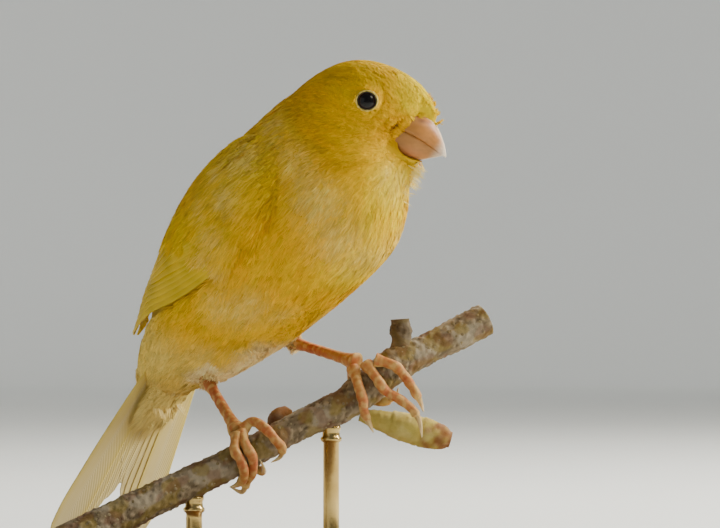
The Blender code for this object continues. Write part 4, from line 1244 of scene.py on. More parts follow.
def wingTint(kind, rings, uv):
    inner, edge = wingTints[kind]
    across = np.abs(uv[..., 0] * 2 - 1)
    rim = smoothStep(0.62, 0.98, across) * 0.5 + smoothStep(0.86, 1.0, uv[..., 1]) * 0.5
    colour = mix(inner, edge, np.clip(rim, 0, 1))
    shaft = np.exp(-((across / 0.08) ** 2))
    colour = mix(colour, (0.55, 0.38, 0.05), 0.4 * shaft)
    cloud = softNoise(rings.reshape(-1, 3), 6 * mm, seed + 3).reshape(uv.shape[:2])
    return colour * (0.85 + 0.3 * cloud)[..., None]


for wingSide, wingName in ((-1, "wing_right"), (1, "wing_left")):
    gatherBlades(
        "wingFeathers" + ("Right" if wingSide < 0 else "Left"), wingFeatherList(wingSide), wingTint,
        wingName,
    )
say("wings ready")


# Tail: twelve feathers, notched, seen from below

tailFeathers = {
    "count": 12, "spread": 9.0, "inner": 25.0, "outer": 45.5, "sag": 0.6, "halfWidth": 4.3,
    "rootHalfWidth": 5.4,
    "tilt": 0.03, "bow": 0.9, "camber": 0.08, "thickness": 0.10, "stations": 20,
    "outline": ((0.0, 0.55), (0.3, 0.80), (0.6, 0.98), (0.85, 1.0), (0.95, 0.72), (1.0, 0.16)),
}


def tailFeatherList():
    blades = []
    for number in range(tailFeathers["count"]):
        share = 2.0 * number / (tailFeathers["count"] - 1) - 1.0
        angle = math.radians(tailFeathers["spread"] * share)
        length = tailFeathers["inner"] + (tailFeathers["outer"] - tailFeathers["inner"]) * abs(share) ** 0.8
        way = (-tailForward * math.cos(angle) + tailLeft * math.sin(angle)) * length
        way = way - tailUp * tailFeathers["sag"] * abs(share)
        start = tailRoot + tailLeft * tailFeathers["rootHalfWidth"] * share * mm
        tilt = tailFeathers["tilt"] * (1 if share < 0 else -1)
        along = unit(way)
        aside = unit(np.cross(tailUp, along))
        over = np.cross(along, aside)
        rings = []
        for t in np.linspace(0.0, 1.0, tailFeathers["stations"]) ** 0.9:
            middle = start + way * t * mm + over * tailFeathers["bow"] * math.sin(math.pi * t) * 0.3 * mm
            width = tailFeathers["halfWidth"] * float(sample(tailFeathers["outline"], t)[0][0])
            upper = [
                middle + (
                    aside * w * width + over * (tilt * w * width + tailFeathers["camber"] * (1 - w * w))
                ) * mm
                for w in vaneColumns
            ]
            lower = [point - over * tailFeathers["thickness"] * mm for point in upper[::-1]]
            rings.append(upper + lower)
        blades.append((abs(share), np.array(rings)))
    return blades


def tailTint(kind, rings, uv):
    across = np.abs(uv[..., 0] * 2 - 1)
    colour = mix((0.92, 0.72, 0.19), (0.94, 0.82, 0.44), uv[..., 1])
    colour = mix(colour, (0.94, 0.74, 0.12), smoothStep(0.6, 1.0, across) * 0.6 * kind**2)
    shaft = np.exp(-((across / 0.07) ** 2))
    return mix(colour, (0.96, 0.84, 0.50), 0.4 * shaft)


coverts = {
    "perFace": 1250, "barbs": 8, "length": (5.0, 11.0), "width": 1.6, "breadth": 6.8, "start": (-6.0, 12.0),
}


def growTailCoverts():
    # Long soft feathers over the roots of the tail, on its upper and its under side
    random = np.random.default_rng(seed + 20)
    count = coverts["perFace"] * 2
    face = np.repeat((1.0, -1.0), coverts["perFace"])
    first, last = coverts["start"]
    near = first + (last - first) * random.random(count) ** 1.35
    aside = random.uniform(-1.0, 1.0, count)
    half, height, depth = sample(tailCore, near).T
    bulge = np.sqrt(np.clip(1 - (aside * 0.96) ** 2, 0, 1))
    lift = np.where(face > 0, height, depth) * bulge - 0.5
    start = tailRoot - tailForward * near[:, None] * mm + tailLeft * (aside * half)[:, None] * mm
    start = start + tailUp * (face * lift)[:, None] * mm
    length = random.uniform(*coverts["length"], count) * (1 - 0.5 * aside**2)
    reach = near + length
    thickness = 0.45 + 1.5 * bulge * (1 - smoothStep(5.0, 15.0, reach))
    fan = 1.0 + 0.10 * reach / 24.0
    tip = tailRoot - tailForward * reach[:, None] * mm + tailLeft * (
        aside * coverts["breadth"] * fan
    )[:, None] * mm
    tip = tip + tailUp * (face * thickness)[:, None] * mm
    middle = (start + tip) / 2 + tailUp * (face * 1.1)[:, None] * mm
    outward = np.tile(tailUp, (count, 1)) * face[:, None] + tailLeft * (aside * 0.4)[:, None]
    width = np.full(count, coverts["width"])
    vertices, shares, spread = tuftGeometry(
        start, middle, tip, unit(outward), width, random, coverts["barbs"], 0.35,
    )
    w = regionWeights(start)
    light = random.uniform(0.86, 1.08, (count, coverts["barbs"]))[..., None]
    onward = smoothStep(-5.0, 13.0, near)
    under = mix((0.88, 0.62, 0.10), (0.95, 0.75, 0.22), onward)
    upper = mix(plumage["green"], plumage["pale"], onward)
    base = np.where((face < 0)[:, None], under, upper)[:, None] * light
    pale = np.array((0.96, 0.79, 0.30)) * light
    paler = [mix(base, pale, np.full(base.shape[:2], share)) for share in (0.3, 0.65)]
    colours = np.clip(np.stack((base * 0.97, *paler), 2), 0, 1)
    buildTufts("tailCoverts", vertices, shares, spread, colours, unwrapped(start, w))


growTailCoverts()
gatherBlades("tailFeathers", tailFeatherList(), tailTint, "tail")
say("tail ready")


# Head: bill, eyes, lids and bristles

billTints = {
    # culmen: pale horn with a painted highlight on the top of the bill
    "side": (0.57, 0.235, 0.055), "culmen": (0.94, 0.75, 0.54), "base": (0.40, 0.18, 0.035),
    "tip": (0.95, 0.84, 0.68),
    # line: painted shade for the mouth's crease, the nostrils and the inside of the mouth
    "lower": (0.50, 0.22, 0.055), "rosy": (0.60, 0.20, 0.08), "line": (0.22, 0.08, 0.02),
}


def attributeMaterial(name, roughness, specular, grain, strength, stretch=None, subsurface=0.0):
    # Colour from the piece's own tint, broken up by fine mottling and a little relief
    made, nodeList, links, shader = newMaterial(name)
    colour = attributeColour(nodeList)
    node = mottleNode(nodeList, links, grain, stretch)
    darker = mixNode(nodeList, links, "MULTIPLY", 1.0, colour, (0.85, 0.85, 0.85))
    tone = mixNode(nodeList, links, "MIX", node.outputs["Share"], darker, colour)
    links.new(tone, shader.inputs["Base Color"])
    setInputs(shader, roughness=roughness, specular=specular)
    if subsurface:
        setInputs(shader, subsurface=subsurface, reach=(1.0, 0.45, 0.25), reachScale=0.8 * mm)
    bumpNode(nodeList, links, node.outputs["Height"], strength, 0.1 * mm, shader)
    return made


def ride(item, material, slot, *replaced):
    item.data.materials.clear()
    item.data.materials.append(material)
    if replaced:
        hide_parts(*replaced)
    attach(item, "root")


def mouthLine(back):
    return bill["mouthRise"] * np.sin(math.pi * np.clip(back / bill["mouthCorner"], 0, 1.15) ** 1.35)


def makeMandible(name, upper):
    start = 0.02 if upper else bill["lowerStart"]
    backs = start + (bill["length"] - start) * np.linspace(0, 1, bill["rows"]) ** 1.25
    rings, tints = [], []
    for back in backs:
        shrunk = back if upper else (back - start) * bill["length"] / (bill["length"] - start)
        half, height, depth = sample(bill["sections"], shrunk)[0]
        middle = float(mouthLine(back))
        if upper:
            turns = np.linspace(0.0, math.pi, bill["sides"])
            up = middle + (height - middle) * np.sin(turns) ** 0.94
            roof = np.linspace(-1, 1, bill["inner"] + 2)[1:-1]
            roofWidth, roofUp = 0.86, middle + 0.05 + 0.3 * height * 0.2 * (1 - roof**2)
        else:
            half = half * bill["inset"]
            turns = np.linspace(math.pi, 2 * math.pi, bill["sides"])
            up = middle + 0.04 + (depth + middle) * np.sin(turns)
            roof = np.linspace(1, -1, bill["inner"] + 2)[1:-1]
            roofWidth, roofUp = 0.8, np.full(len(roof), middle + 0.16)
        across = np.append(half * np.cos(turns), roof * half * roofWidth)
        ring = np.column_stack((across, np.append(up, roofUp)))
        outer = len(turns)
        high = np.abs(np.sin(turns))
        colour = np.tile(billTints["side" if upper else "lower"], (len(ring), 1))
        face = colour[:outer]
        if upper:
            # the culmen is pale: the horn's own pale ridge and a painted highlight where the light falls on
            # the top of the bill
            face = mix(face, billTints["culmen"], smoothStep(0.86, 0.985, high) * 0.9)
            face = mix(
                face, billTints["rosy"],
                0.6 * np.exp(-(((high - 0.8) / 0.12) ** 2)) * smoothStep(2.0, 6.0, back),
            )
        else:
            face = mix(
                face, billTints["rosy"],
                0.5 * np.exp(-(((high - 0.75) / 0.25) ** 2)) * smoothStep(2.5, 6.0, back),
            )
            face = mix(
                face, billTints["tip"], 0.7 * smoothStep(0.9, 1.0, high) * (1 - smoothStep(2.0, 6.0, back)),
            )
        face = mix(face, billTints["tip"], np.full(outer, 0.85 * (1 - smoothStep(0.3, 3.2, back))))
        # the darker base spares the culmen, keeping its painted highlight
        ridge = smoothStep(0.9, 1.0, high) * upper
        face = mix(face, billTints["base"], 0.7 * smoothStep(5.0, 10.0, back) * (1 - 0.8 * ridge))
        # painted shade in the crease of the mouth, stronger on the lower mandible and towards the gape
        edge = np.exp(-((high * (height if upper else depth) / 0.16) ** 2))
        face = mix(
            face, billTints["line"],
            edge * (0.18 if upper else 0.45) * (0.3 + 0.7 * smoothStep(4.0, 8.5, back)),
        )
        if upper:
            # painted shade: dark spots for the nostrils, which have no hollow
            for turn in (bill["nostrilTurn"], 180 - bill["nostrilTurn"]):
                gap = np.hypot(np.degrees(turns) - turn, (back - bill["nostrilBack"]) * 14.0)
                face = mix(face, billTints["line"], np.exp(-((gap / 9.0) ** 2)))
        colour[:outer] = face
        # painted shade: the inside of the mouth is the same dark tone
        colour[outer:] = billTints["line"]
        drawn = np.column_stack((ring * 3.2, np.full(len(ring), back * 0.5)))
        streak = softNoise(drawn, 1.4, seed + 7)
        tints.append(colour * (0.90 + 0.18 * streak)[:, None])
        local = np.column_stack((np.full(len(ring), -back), ring))
        rings.append(
            billTip + mm * (local[:, :1] * billForward + local[:, 1:2] * billLeft + local[:, 2:] * billUp)
        )
    return closedTube(name, rings, {"tint": np.array(tints)})


billMaterial = attributeMaterial("billHorn", 0.42, 0.32, 260.0, 0.18, (1.0, 1.0, 0.35), 0.06)
ride(makeMandible("billUpper", True), billMaterial, "bill_horn", "bill_upper")
ride(makeMandible("billLower", False), billMaterial, "bill_horn", "bill_lower")

eyes = {
    "radius": 2.4, "sunk": 1.5, "rimRadius": 1.74, "rimTube": 0.13, "rimRise": 0.44, "ringRadius": 2.02,
    "ringTube": 0.16, "ringRise": 0.42, "beads": 34, "beadRadius": 0.105, "beadRise": 0.56,
    "rows": 34, "sides": 40, "lidRows": 96, "lidSides": 10, "lineRows": 64, "foldRidges": 13,
}


def ringFrame(side):
    out = eyeDirection(side)
    first = unit(np.cross(out, (0.0, 0.0, 1.0)))
    return out, first, np.cross(out, first), eyeMiddles[side] + out * eyes["sunk"] * mm


def makeEye(name, side):
    out, first, second, _ = ringFrame(side)
    rings, tints = [], []
    turns = roundTurns(eyes["sides"])
    for polar in np.linspace(0.02, math.pi - 0.02, eyes["rows"]):
        flat = 1.0 + 0.02 * math.cos(polar)
        ring = eyeMiddles[side] + eyes["radius"] * flat * mm * (
            math.cos(polar) * out + math.sin(polar) * (
                np.cos(turns)[:, None] * first + np.sin(turns)[:, None] * second
            )
        )
        reach = eyes["radius"] * math.sin(polar)
        iris = smoothStep(1.25, 1.4, reach)
        rays = 0.8 + 0.4 * np.sin(turns * 17) ** 2
        tint = mix((0.006, 0.005, 0.005), (0.034, 0.015, 0.007), np.full(len(turns), float(iris)))
        rings.append(ring)
        tints.append(tint * (rays * iris + 1 - iris)[:, None])
    return closedTube(name, rings, {"tint": np.array(tints)})


def makeLidRing(name, side, radius, tube, rise, ridges):
    out, first, second, surface = ringFrame(side)
    rings = []
    turns = roundTurns(eyes["lidSides"])
    for angle in roundTurns(eyes["lidRows"]):
        ray = math.cos(angle) * first + math.sin(angle) * second
        oval = 1.0 + 0.03 * math.cos(2 * angle)
        size = tube * (1 + 0.18 * math.sin(angle * ridges))
        rings.append(surface + mm * (
            ray * (
                radius * oval + size * np.cos(turns)[:, None]
            ) + out * (rise + size * np.sin(turns)[:, None])
        ))
    faces = gridFaces(len(rings) + 1, len(turns)) % (len(rings) * len(turns))
    item = meshObject(name, np.array(rings).reshape(-1, 3), [faces])
    facedOut(item)
    return item


def geometryTree(name, inputs):
    tree = bpy.data.node_groups.new(name, "GeometryNodeTree")
    tree.interface.new_socket("Geometry", in_out="INPUT", socket_type="NodeSocketGeometry")
    for label, kind, value in inputs:
        socket = tree.interface.new_socket(label, in_out="INPUT", socket_type="NodeSocket" + kind)
        socket.default_value = value
    tree.interface.new_socket("Geometry", in_out="OUTPUT", socket_type="NodeSocketGeometry")
    return tree, tree.nodes.new("NodeGroupInput"), tree.nodes.new("NodeGroupOutput")


def grownBy(name, carrier, tree, values, material):
    # The tree's result on the carrier as a plain mesh of its own
    modifier = carrier.modifiers.new(name, "NODES")
    modifier.node_group = tree
    for socket in tree.interface.items_tree:
        if socket.in_out == "INPUT" and socket.name in values:
            modifier[socket.identifier] = values[socket.name]
    bpy.context.view_layer.update()
    mesh = bpy.data.meshes.new_from_object(carrier.evaluated_get(bpy.context.evaluated_depsgraph_get()))
    carrier.modifiers.remove(modifier)
    mesh.name = name
    item = placed(name, mesh)
    if not len(mesh.materials):
        mesh.materials.append(material)
    return item


def beadTree(material):
    # Small beads set evenly along a closed line
    tree, given, result = geometryTree("beadsAlongLine", (
        ("Count", "Int", 24), ("Radius", "Float", 0.0002), ("Unevenness", "Float", 0.3), ("Seed", "Int", 1),
    ))
    add = tree.nodes.new
    curve, even = add("GeometryNodeMeshToCurve"), add("GeometryNodeResampleCurve")
    small = add("ShaderNodeMath")
    bead, place = add("GeometryNodeMeshIcoSphere"), add("GeometryNodeInstanceOnPoints")
    size, real, finish = (
        add("FunctionNodeRandomValue"), add("GeometryNodeRealizeInstances"), add("GeometryNodeSetMaterial"),
    )
    small.operation = "SUBTRACT"
    small.inputs[0].default_value = 1.0
    setInputs(bead, subdivisions=2)
    setInputs(finish, material=material)
    wire(
        tree, (
            given, "Geometry", curve, "Mesh",
        ), (curve, "Curve", even, "Curve"), (given, "Count", even, "Count"),
        (
            given, "Radius", bead, "Radius",
        ), (even, "Curve", place, "Points"), (bead, "Mesh", place, "Instance"),
        (given, "Unevenness", small, 1), (small, "Value", size, 2), (given, "Seed", size, "Seed"),
        (size, 1, place, "Scale"), (
            place, "Instances", real, "Geometry",
        ), (real, "Geometry", finish, "Geometry"),
        (finish, "Geometry", result, "Geometry"),
    )
    return tree


eyeMaterial = attributeMaterial("eye", 0.05, 0.28, 900.0, 0.0)
lidMaterial = hornMaterial("lidSkin", (0.50, 0.34, 0.03), (0.88, 0.68, 0.16), 0.6, 1600.0)
rimMaterial = hornMaterial("lidRim", (0.02, 0.012, 0.006), (0.05, 0.03, 0.012), 0.35, 900.0)
lidBeads = beadTree(lidMaterial)
for eyeSide, word in ((-1, "Right"), (1, "Left")):
    ride(makeEye("eye" + word, eyeSide), eyeMaterial, "eye", "eye_" + word.lower())
    rim = makeLidRing("lidRim" + word, eyeSide, eyes["rimRadius"], eyes["rimTube"], eyes["rimRise"], 0)
    ride(rim, rimMaterial, "eye")
    fold = makeLidRing(
        "lidFold" + word, eyeSide, eyes["ringRadius"], eyes["ringTube"], eyes["ringRise"],
        eyes["foldRidges"],
    )
    ride(fold, lidMaterial, "plumage_body")
    out, first, second, surface = ringFrame(eyeSide)
    rows = eyes["lineRows"]
    angles = roundTurns(rows)
    line = surface + mm * (
        eyes["ringRadius"] * (
            np.cos(angles)[:, None] * first + np.sin(angles)[:, None] * second
        ) + out * eyes["beadRise"]
    )
    loop = bpy.data.meshes.new("lidLine")
    loop.from_pydata(line.tolist(), [(i, (i + 1) % rows) for i in range(rows)], [])
    carrier = placed("lidLine", loop)
    beads = grownBy("lidBeads" + word, carrier, lidBeads, {
        "Count": eyes["beads"], "Radius": eyes["beadRadius"] * mm, "Unevenness": 0.35,
        "Seed": seed + eyeSide,
    }, lidMaterial)
    bpy.data.objects.remove(carrier)
    beads.data.polygons.foreach_set("use_smooth", np.full(len(beads.data.polygons), True))
    ride(beads, lidMaterial, "plumage_body")

# Bristles round the bill: over the nostrils, from the corners of the mouth and under the chin
bristles = (
    # name, count, back from the edge of the face, degrees round the bill, forward and outward lean,
    # length, colour
    ("brow", 260, (-0.2, 1.0), (-40, 40), (0.85, 0.42), (0.8, 1.7), (0.95, 0.72, 0.015)),
    ("corner", 30, (0.2, 1.0), (136, 150), (-0.9, 0.25), (2.4, 4.4), (0.88, 0.66, 0.12)),
    ("chin", 420, (0.0, 4.0), (146, 214), (-0.15, 0.9), (1.2, 3.0), (1.0, 0.95, 0.62)),
)
throatHairs = {
    "count": 110, "middle": (31.6, -22.0, 86.8), "reach": 1.8, "length": (1.8, 3.6),
    "colour": (1.0, 0.84, 0.30),
}
fringe = {"count": 5200, "depth": 3.0, "length": (1.2, 2.1), "width": 0.55, "barbs": 5}


def aroundBill(back, turn):
    # A place on the bill's surface and the way out of it
    half, height, depth = sample(bill["sections"], back).T
    reach = np.where(np.cos(turn) > 0, height, depth)
    out = billLeft * (np.sin(turn) * half)[:, None] + billUp * (np.cos(turn) * reach)[:, None]
    return billTip - billForward * back[:, None] * mm + out * mm, unit(out)


def growFringe():
    # Short soft feathers all round the bill, lying back from the edge over the skin
    random = np.random.default_rng(seed + 31)
    count = fringe["count"]
    turn = np.radians(random.uniform(-180, 180, count))
    edge = sample(bill["featherEdge"], np.abs(np.degrees(turn)))[:, 0]
    back = edge + fringe["depth"] * random.random(count) ** 1.3 + random.normal(0, 0.10, count)
    start, out = aroundBill(back, turn)
    rooted, outward = onSkin(start)
    above = ((rooted - start) * out).sum(1) > 0
    start = np.where(above[:, None], rooted, start)
    length = random.uniform(*fringe["length"], count)
    under = smoothStep(2.55, 2.95, np.abs(turn))
    brow = 1 - smoothStep(0.6, 1.2, np.abs(turn))
    way = unit(
        -billForward + out * (
            0.22 - 0.20 * brow + 0.7 * under
        )[:, None] + random.normal(0, 0.12, (count, 3))
    )
    tip = start + way * length[:, None] * mm
    nearby, outward = onSkin(tip)
    lift = 0.3 - 0.2 * brow + 0.4 * smoothStep(0.8, 2.0, back - edge)
    tip = np.where((under > 0.5)[:, None], tip, nearby + outward * lift[:, None] * mm)
    middle = (start + tip) / 2 + out * (lift * 0.5)[:, None] * mm
    widths = np.full(count, fringe["width"])
    vertices, shares, spread = tuftGeometry(
        start - out * 0.1 * mm, middle, tip, out, widths, random, fringe["barbs"],
    )
    place = start - billForward * 1.5 * mm
    w = regionWeights(place)
    w["head"] = np.ones(count)
    colours = tuftColours(place, w, random, fringe["barbs"], np.tile((0.96, 0.92, 0.8), (count, 1)))
    pale = np.array((0.97, 0.88, 0.38))
    colours = mix(colours, pale, np.broadcast_to(under[:, None, None] * 0.85, colours.shape[:3]))
    buildTufts("faceFringe", vertices, shares, spread, colours, unwrapped(start, w))


def growBristles():
    random = np.random.default_rng(seed + 30)
    for name, count, backs, turns, lean, lengths, colour in bristles:
        turn = np.radians(random.uniform(*turns, count))
        if name == "corner":
            turn = turn * random.choice((-1, 1), count)
        edge = sample(bill["featherEdge"], np.degrees(np.arccos(np.cos(turn))))[:, 0]
        start, out = aroundBill(edge + random.uniform(*backs, count), turn)
        way = unit(billForward * lean[0] + out * lean[1] + random.normal(0, 0.14, (count, 3)))
        if name == "corner":
            way = unit(way - billUp * 0.25)
        length = random.uniform(*lengths, count)[:, None] * mm
        tip = start + way * length
        if name == "corner":
            nearby, outward = onSkin(tip)
            tip = nearby + outward * 0.75 * mm
        middle = (start + tip) / 2 + out * length * 0.12
        width = np.full(count, 0.36)
        vertices, shares, spread = tuftGeometry(start, middle, tip, out, width, random, 3)
        light = random.uniform(0.85, 1.1, (count, 3))[..., None]
        base = np.array(colour) * light
        colours = np.clip(np.stack((base * 0.8, base * 0.95, base * 1.05), 2), 0, 1)
        uvs = unwrapped(start, regionWeights(start))
        buildTufts("bristles" + name.title(), vertices, shares, spread, colours, uvs)


def growThroatHairs():
    # Loose pale hairs that stand out from the front of the throat
    random = np.random.default_rng(seed + 33)
    count = throatHairs["count"]
    around = np.array(throatHairs["middle"]) + random.normal(0, throatHairs["reach"], (count, 3))
    root, outward = onSkin(around * mm)
    low = root[:, 2] < 90.0 * mm
    root, outward, count = root[low], outward[low], int(low.sum())
    way = unit(outward + np.array((0.25, 0.0, -0.35)) + random.normal(0, 0.16, (count, 3)))
    length = random.uniform(*throatHairs["length"], count)[:, None] * mm
    tip = root + way * length
    middle = (root + tip) / 2 + outward * length * 0.1
    vertices, shares, spread = tuftGeometry(root, middle, tip, outward, np.full(count, 0.7), random, 3)
    colours = np.array(throatHairs["colour"]) * random.uniform(0.85, 1.0, (count, 3, 3))[..., None]
    buildTufts(
        "hairsThroat", vertices, shares, spread, colours, unwrapped(root, regionWeights(root)),
    )


growFringe()
growBristles()
growThroatHairs()
say("head ready")


# Perch: a cut length of branch with its knots

branch = {
    "line": (
        (-39.0, -26.8, 15.5, 3.6),
        (-30.5, -23.6, 19.5, 3.5),
        (-18.0, -19.3, 25.4, 3.3),
        (-6.2, -15.1, 30.9, 3.1),
        (7.3, -10.4, 38.2, 2.9),
        (15.8, -7.5, 42.1, 3.2),
        (21.0, -5.7, 45.9, 3.4),
        (25.8, -4.0, 49.7, 3.4),
        (33.6, -1.2, 53.6, 3.1),
        (44.0, 2.4, 58.8, 3.4),
    ),
    "rows": 300, "sides": 64, "relief": 0.16, "stubRows": 60, "stubSides": 40, "stubRelief": 0.10,
    # place along the branch, swelling in mm, reach along it
    "knots": (
        (0.30, 0.10, 0.015), (0.47, 0.14, 0.02), (0.615, 0.22, 0.03), (0.70, 0.26, 0.03),
        (0.78, 0.28, 0.03), (0.93, 0.16, 0.02),
    ),
    # name, start, end, radii
    "stubs": (
        ("knob", (27.6, -3.0, 50.0), (27.0, -3.0, 59.0), (2.6, 2.4, 2.1, 2.2, 1.9)),
        ("bud", (2.0, -8.0, 37.0), (4.8, -8.4, 41.4), (1.8, 2.3, 2.5, 2.4, 1.9, 0.9)),
        ("sheath", (19.0, -6.0, 40.0), (37.0, -5.0, 35.0), (1.2, 2.2, 3.0, 3.0, 2.2)),
    ),
}
branchRows = np.array(branch["line"])
branchSteps = travelled(branchRows[:, :3])
branchLength = branchSteps[-1]
branchTable = np.column_stack((branchSteps / branchLength, branchRows))


def branchFrame(place):
    found = sample(branchTable, [place - 0.01, place, place + 0.01])
    points, radii = found[:, :3] * mm, found[:, 3] * mm
    along = unit(points[2] - points[0])
    top = unit(np.array((0.0, 0.0, 1.0)) - along * along[2])
    front = np.cross(top, along)
    return points[1], radii[1], along, front if front[1] < 0 else -front, top


def onBranch(along, turn, lift):
    middle, radius, _, front, top = branchFrame(along)
    angle = math.radians(turn)
    return middle + (radius + lift * mm) * (math.cos(angle) * top + math.sin(angle) * front)


def barkRelief(points, across, along, key):
    # Long low ridges, cracks and small warts, in mm
    ridges = softNoise(np.column_stack((across / 1.1, along / 4.2, np.zeros(len(along)))), 1.0, key)
    warts = softNoise(points, 1.4 * mm, key + 1)
    cracks = np.abs(
        softNoise(np.column_stack((across / 0.8, along / 3.0, np.ones(len(along)))), 1.0, key + 2) - 0.5
    )
    return (ridges - 0.5) * 0.9 + smoothStep(0.66, 0.86, warts) * 1.1 - (
        1 - smoothStep(0.0, 0.07, cracks)
    ) * 0.7


def barkTint(points, relief):
    # the tone follows the relief, darker in cracks and hollows and lighter on ridges and warts: painted
    # shade over the bark's own brown
    base = mix((0.080, 0.056, 0.030), (0.34, 0.26, 0.155), np.clip(0.5 + relief * 0.6, 0, 1))
    lichen = smoothStep(0.52, 0.72, softNoise(points, 7 * mm, seed + 41))
    moss = smoothStep(0.58, 0.78, softNoise(points, 5 * mm, seed + 42))
    red = smoothStep(0.62, 0.80, softNoise(points, 4 * mm, seed + 43))
    base = mix(base, (0.46, 0.39, 0.27), 0.55 * lichen)
    base = mix(base, (0.26, 0.18, 0.03), 0.6 * moss)
    return mix(base, (0.16, 0.06, 0.03), 0.45 * red)


# mm round the branch for each radian, as the pattern of the bark counts them
barkReach = 3.2


def barkTube(name, line, radii, sides, relief, ends):
    along, aside, over = lineFrames(line)
    travel = travelled(line) / mm
    turns = roundTurns(sides)
    ways = ringWays(turns, aside, over)
    points = line[:, None] + ways * radii[:, None, None]
    across = np.broadcast_to(turns[None] * barkReach, points.shape[:2])
    # The seam of the pattern is hidden by folding it there
    folded = np.minimum(across, 2 * math.pi * barkReach - across)
    height = barkRelief(points.reshape(-1, 3), folded.ravel(), np.repeat(travel, sides), seed + 40)
    height = height.reshape(points.shape[:2])
    tint = barkTint(points.reshape(-1, 3), height.ravel()).reshape(points.shape)
    points = points + ways * (height * relief)[..., None] * mm
    for row in ends:
        # A sawn end: pale wood inside the bark, with its rings
        middle = line[row]
        step = along[row] * (0.02 if row else -0.02) * mm
        inner, tones = [], []
        for share, tone in ((0.92, 1.0), (0.86, 0.75), (0.5, 1.0), (0.12, 0.75)):
            inner.append(middle + (points[row] - middle) * share + step)
            tones.append(np.tile(np.array((0.50, 0.38, 0.22)) * tone, (sides, 1)))
        if row == 0:
            points = np.concatenate((np.array(inner[::-1]), points))
            tint = np.concatenate((np.array(tones[::-1]), tint))
        else:
            points = np.concatenate((points, np.array(inner)))
            tint = np.concatenate((tint, np.array(tones)))
    return closedTube(name, points, {"tint": tint})


barkMaterial = attributeMaterial("bark", 0.88, 0.2, 900.0, 0.6)
places = np.linspace(0.0, 1.0, branch["rows"])
found = sample(branchTable, places)
knots = np.zeros(len(places))
for place, size, reach in branch["knots"]:
    knots += size * np.exp(-(((places - place) / reach) ** 2))
girth = (found[:, 3] - 0.1 + knots) * mm
perch = barkTube("perchBark", found[:, :3] * mm, girth, branch["sides"], branch["relief"], (0, -1))
ride(perch, barkMaterial, "bark", "perch")
# colours of each stub at its root and at its end, and where along it they change
stubWood = {
    "knob": ((0.16, 0.11, 0.06), (0.045, 0.026, 0.012), 0.1),
    "bud": ((0.13, 0.055, 0.022), (0.42, 0.16, 0.035), 0.3),
    "sheath": ((0.62, 0.50, 0.10), (0.26, 0.085, 0.012), 0.62),
}
for name, start, end, radii in branch["stubs"]:
    start, end = np.array(start) * mm, np.array(end) * mm
    shares = np.linspace(0, 1, branch["stubRows"])
    swell = sample(np.column_stack((np.linspace(0, 1, len(radii)), radii)), shares)[:, 0]
    if name == "sheath":
        # Papery scales one over the next, with a rusty torn end
        swell = swell * (0.96 + 0.05 * (1 - (shares * 3 % 1.0))) * (
            1 - 0.25 * smoothStep(0.93, 1.0, shares)
        )
    elif name == "knob":
        swell = swell * (1 + 0.07 * np.sin(shares * 19.0))
    stub = barkTube(
        name, start + (end - start) * shares[:, None], (swell - 0.05) * mm, branch["stubSides"],
        branch["stubRelief"], (-1,) if name != "bud" else (),
    )
    tint = stub.data.attributes["tint"]
    values = np.empty(len(stub.data.vertices) * 4, np.float32)
    tint.data.foreach_get("color", values)
    points = vertexArray(stub.data)
    travel = (points - start) @ (end - start) / ((end - start) @ (end - start))
    first, last, turnsAt = stubWood[name]
    place = travel + 0.25 * (softNoise(points, 3 * mm, seed + 50) - 0.5)
    wood = mix(first, last, smoothStep(turnsAt, 0.95, place))
    band = 0.93 + 0.07 * smoothStep(0.0, 0.3, travel * 3 % 1.0)
    values = values.reshape(-1, 4)
    values[:, :3] = values[:, :3] * 0.35 + wood * band[:, None] * 0.75
    tint.data.foreach_set("color", values.ravel())
    ride(stub, barkMaterial, "bark")


def fleckTree(material):
    # Small flattened crusts scattered over a surface, turned to lie on it
    tree, given, result = geometryTree("crustsOnSurface", (
        ("Density", "Float", 100.0), ("Radius", "Float", 0.0003), ("Flatness", "Float", 0.4),
        ("Seed", "Int", 1),
    ))
    add = tree.nodes.new
    scatter, bead = add("GeometryNodeDistributePointsOnFaces"), add("GeometryNodeMeshIcoSphere")
    place, flat, whole = (
        add("GeometryNodeInstanceOnPoints"), add("ShaderNodeCombineXYZ"), add("GeometryNodeTransform"),
    )
    size, real, finish = (
        add("FunctionNodeRandomValue"), add("GeometryNodeRealizeInstances"), add("GeometryNodeSetMaterial"),
    )
    flat.inputs["X"].default_value = flat.inputs["Y"].default_value = 1.0
    size.inputs[2].default_value = 0.35
    size.inputs[3].default_value = 1.3
    setInputs(bead, subdivisions=1)
    setInputs(finish, material=material)
    wire(
        tree, (given, "Geometry", scatter, "Mesh"), (given, "Density", scatter, "Density"),
        (given, "Seed", scatter, "Seed"), (given, "Radius", bead, "Radius"), (given, "Flatness", flat, "Z"),
        (bead, "Mesh", whole, "Geometry"), (flat, "Vector", whole, "Scale"), (
            scatter, "Points", place, "Points",
        ),
        (scatter, "Rotation", place, "Rotation"), (whole, "Geometry", place, "Instance"),
        (given, "Seed", size, "Seed"), (size, 1, place, "Scale"), (place, "Instances", real, "Geometry"),
        (real, "Geometry", finish, "Geometry"), (finish, "Geometry", result, "Geometry"),
    )
    return tree


lichenMaterial = hornMaterial("lichen", (0.16, 0.115, 0.055), (0.34, 0.27, 0.15), 0.9, 500.0, specular=0.1)
crusts = grownBy("lichenCrusts", perch, fleckTree(lichenMaterial), {
    "Density": 330000.0, "Radius": 0.30 * mm, "Flatness": 0.22, "Seed": seed,
}, lichenMaterial)
ride(crusts, lichenMaterial, "bark")
say("perch ready", len(crusts.data.polygons))


# Legs: scaled shanks, four toes each and their claws

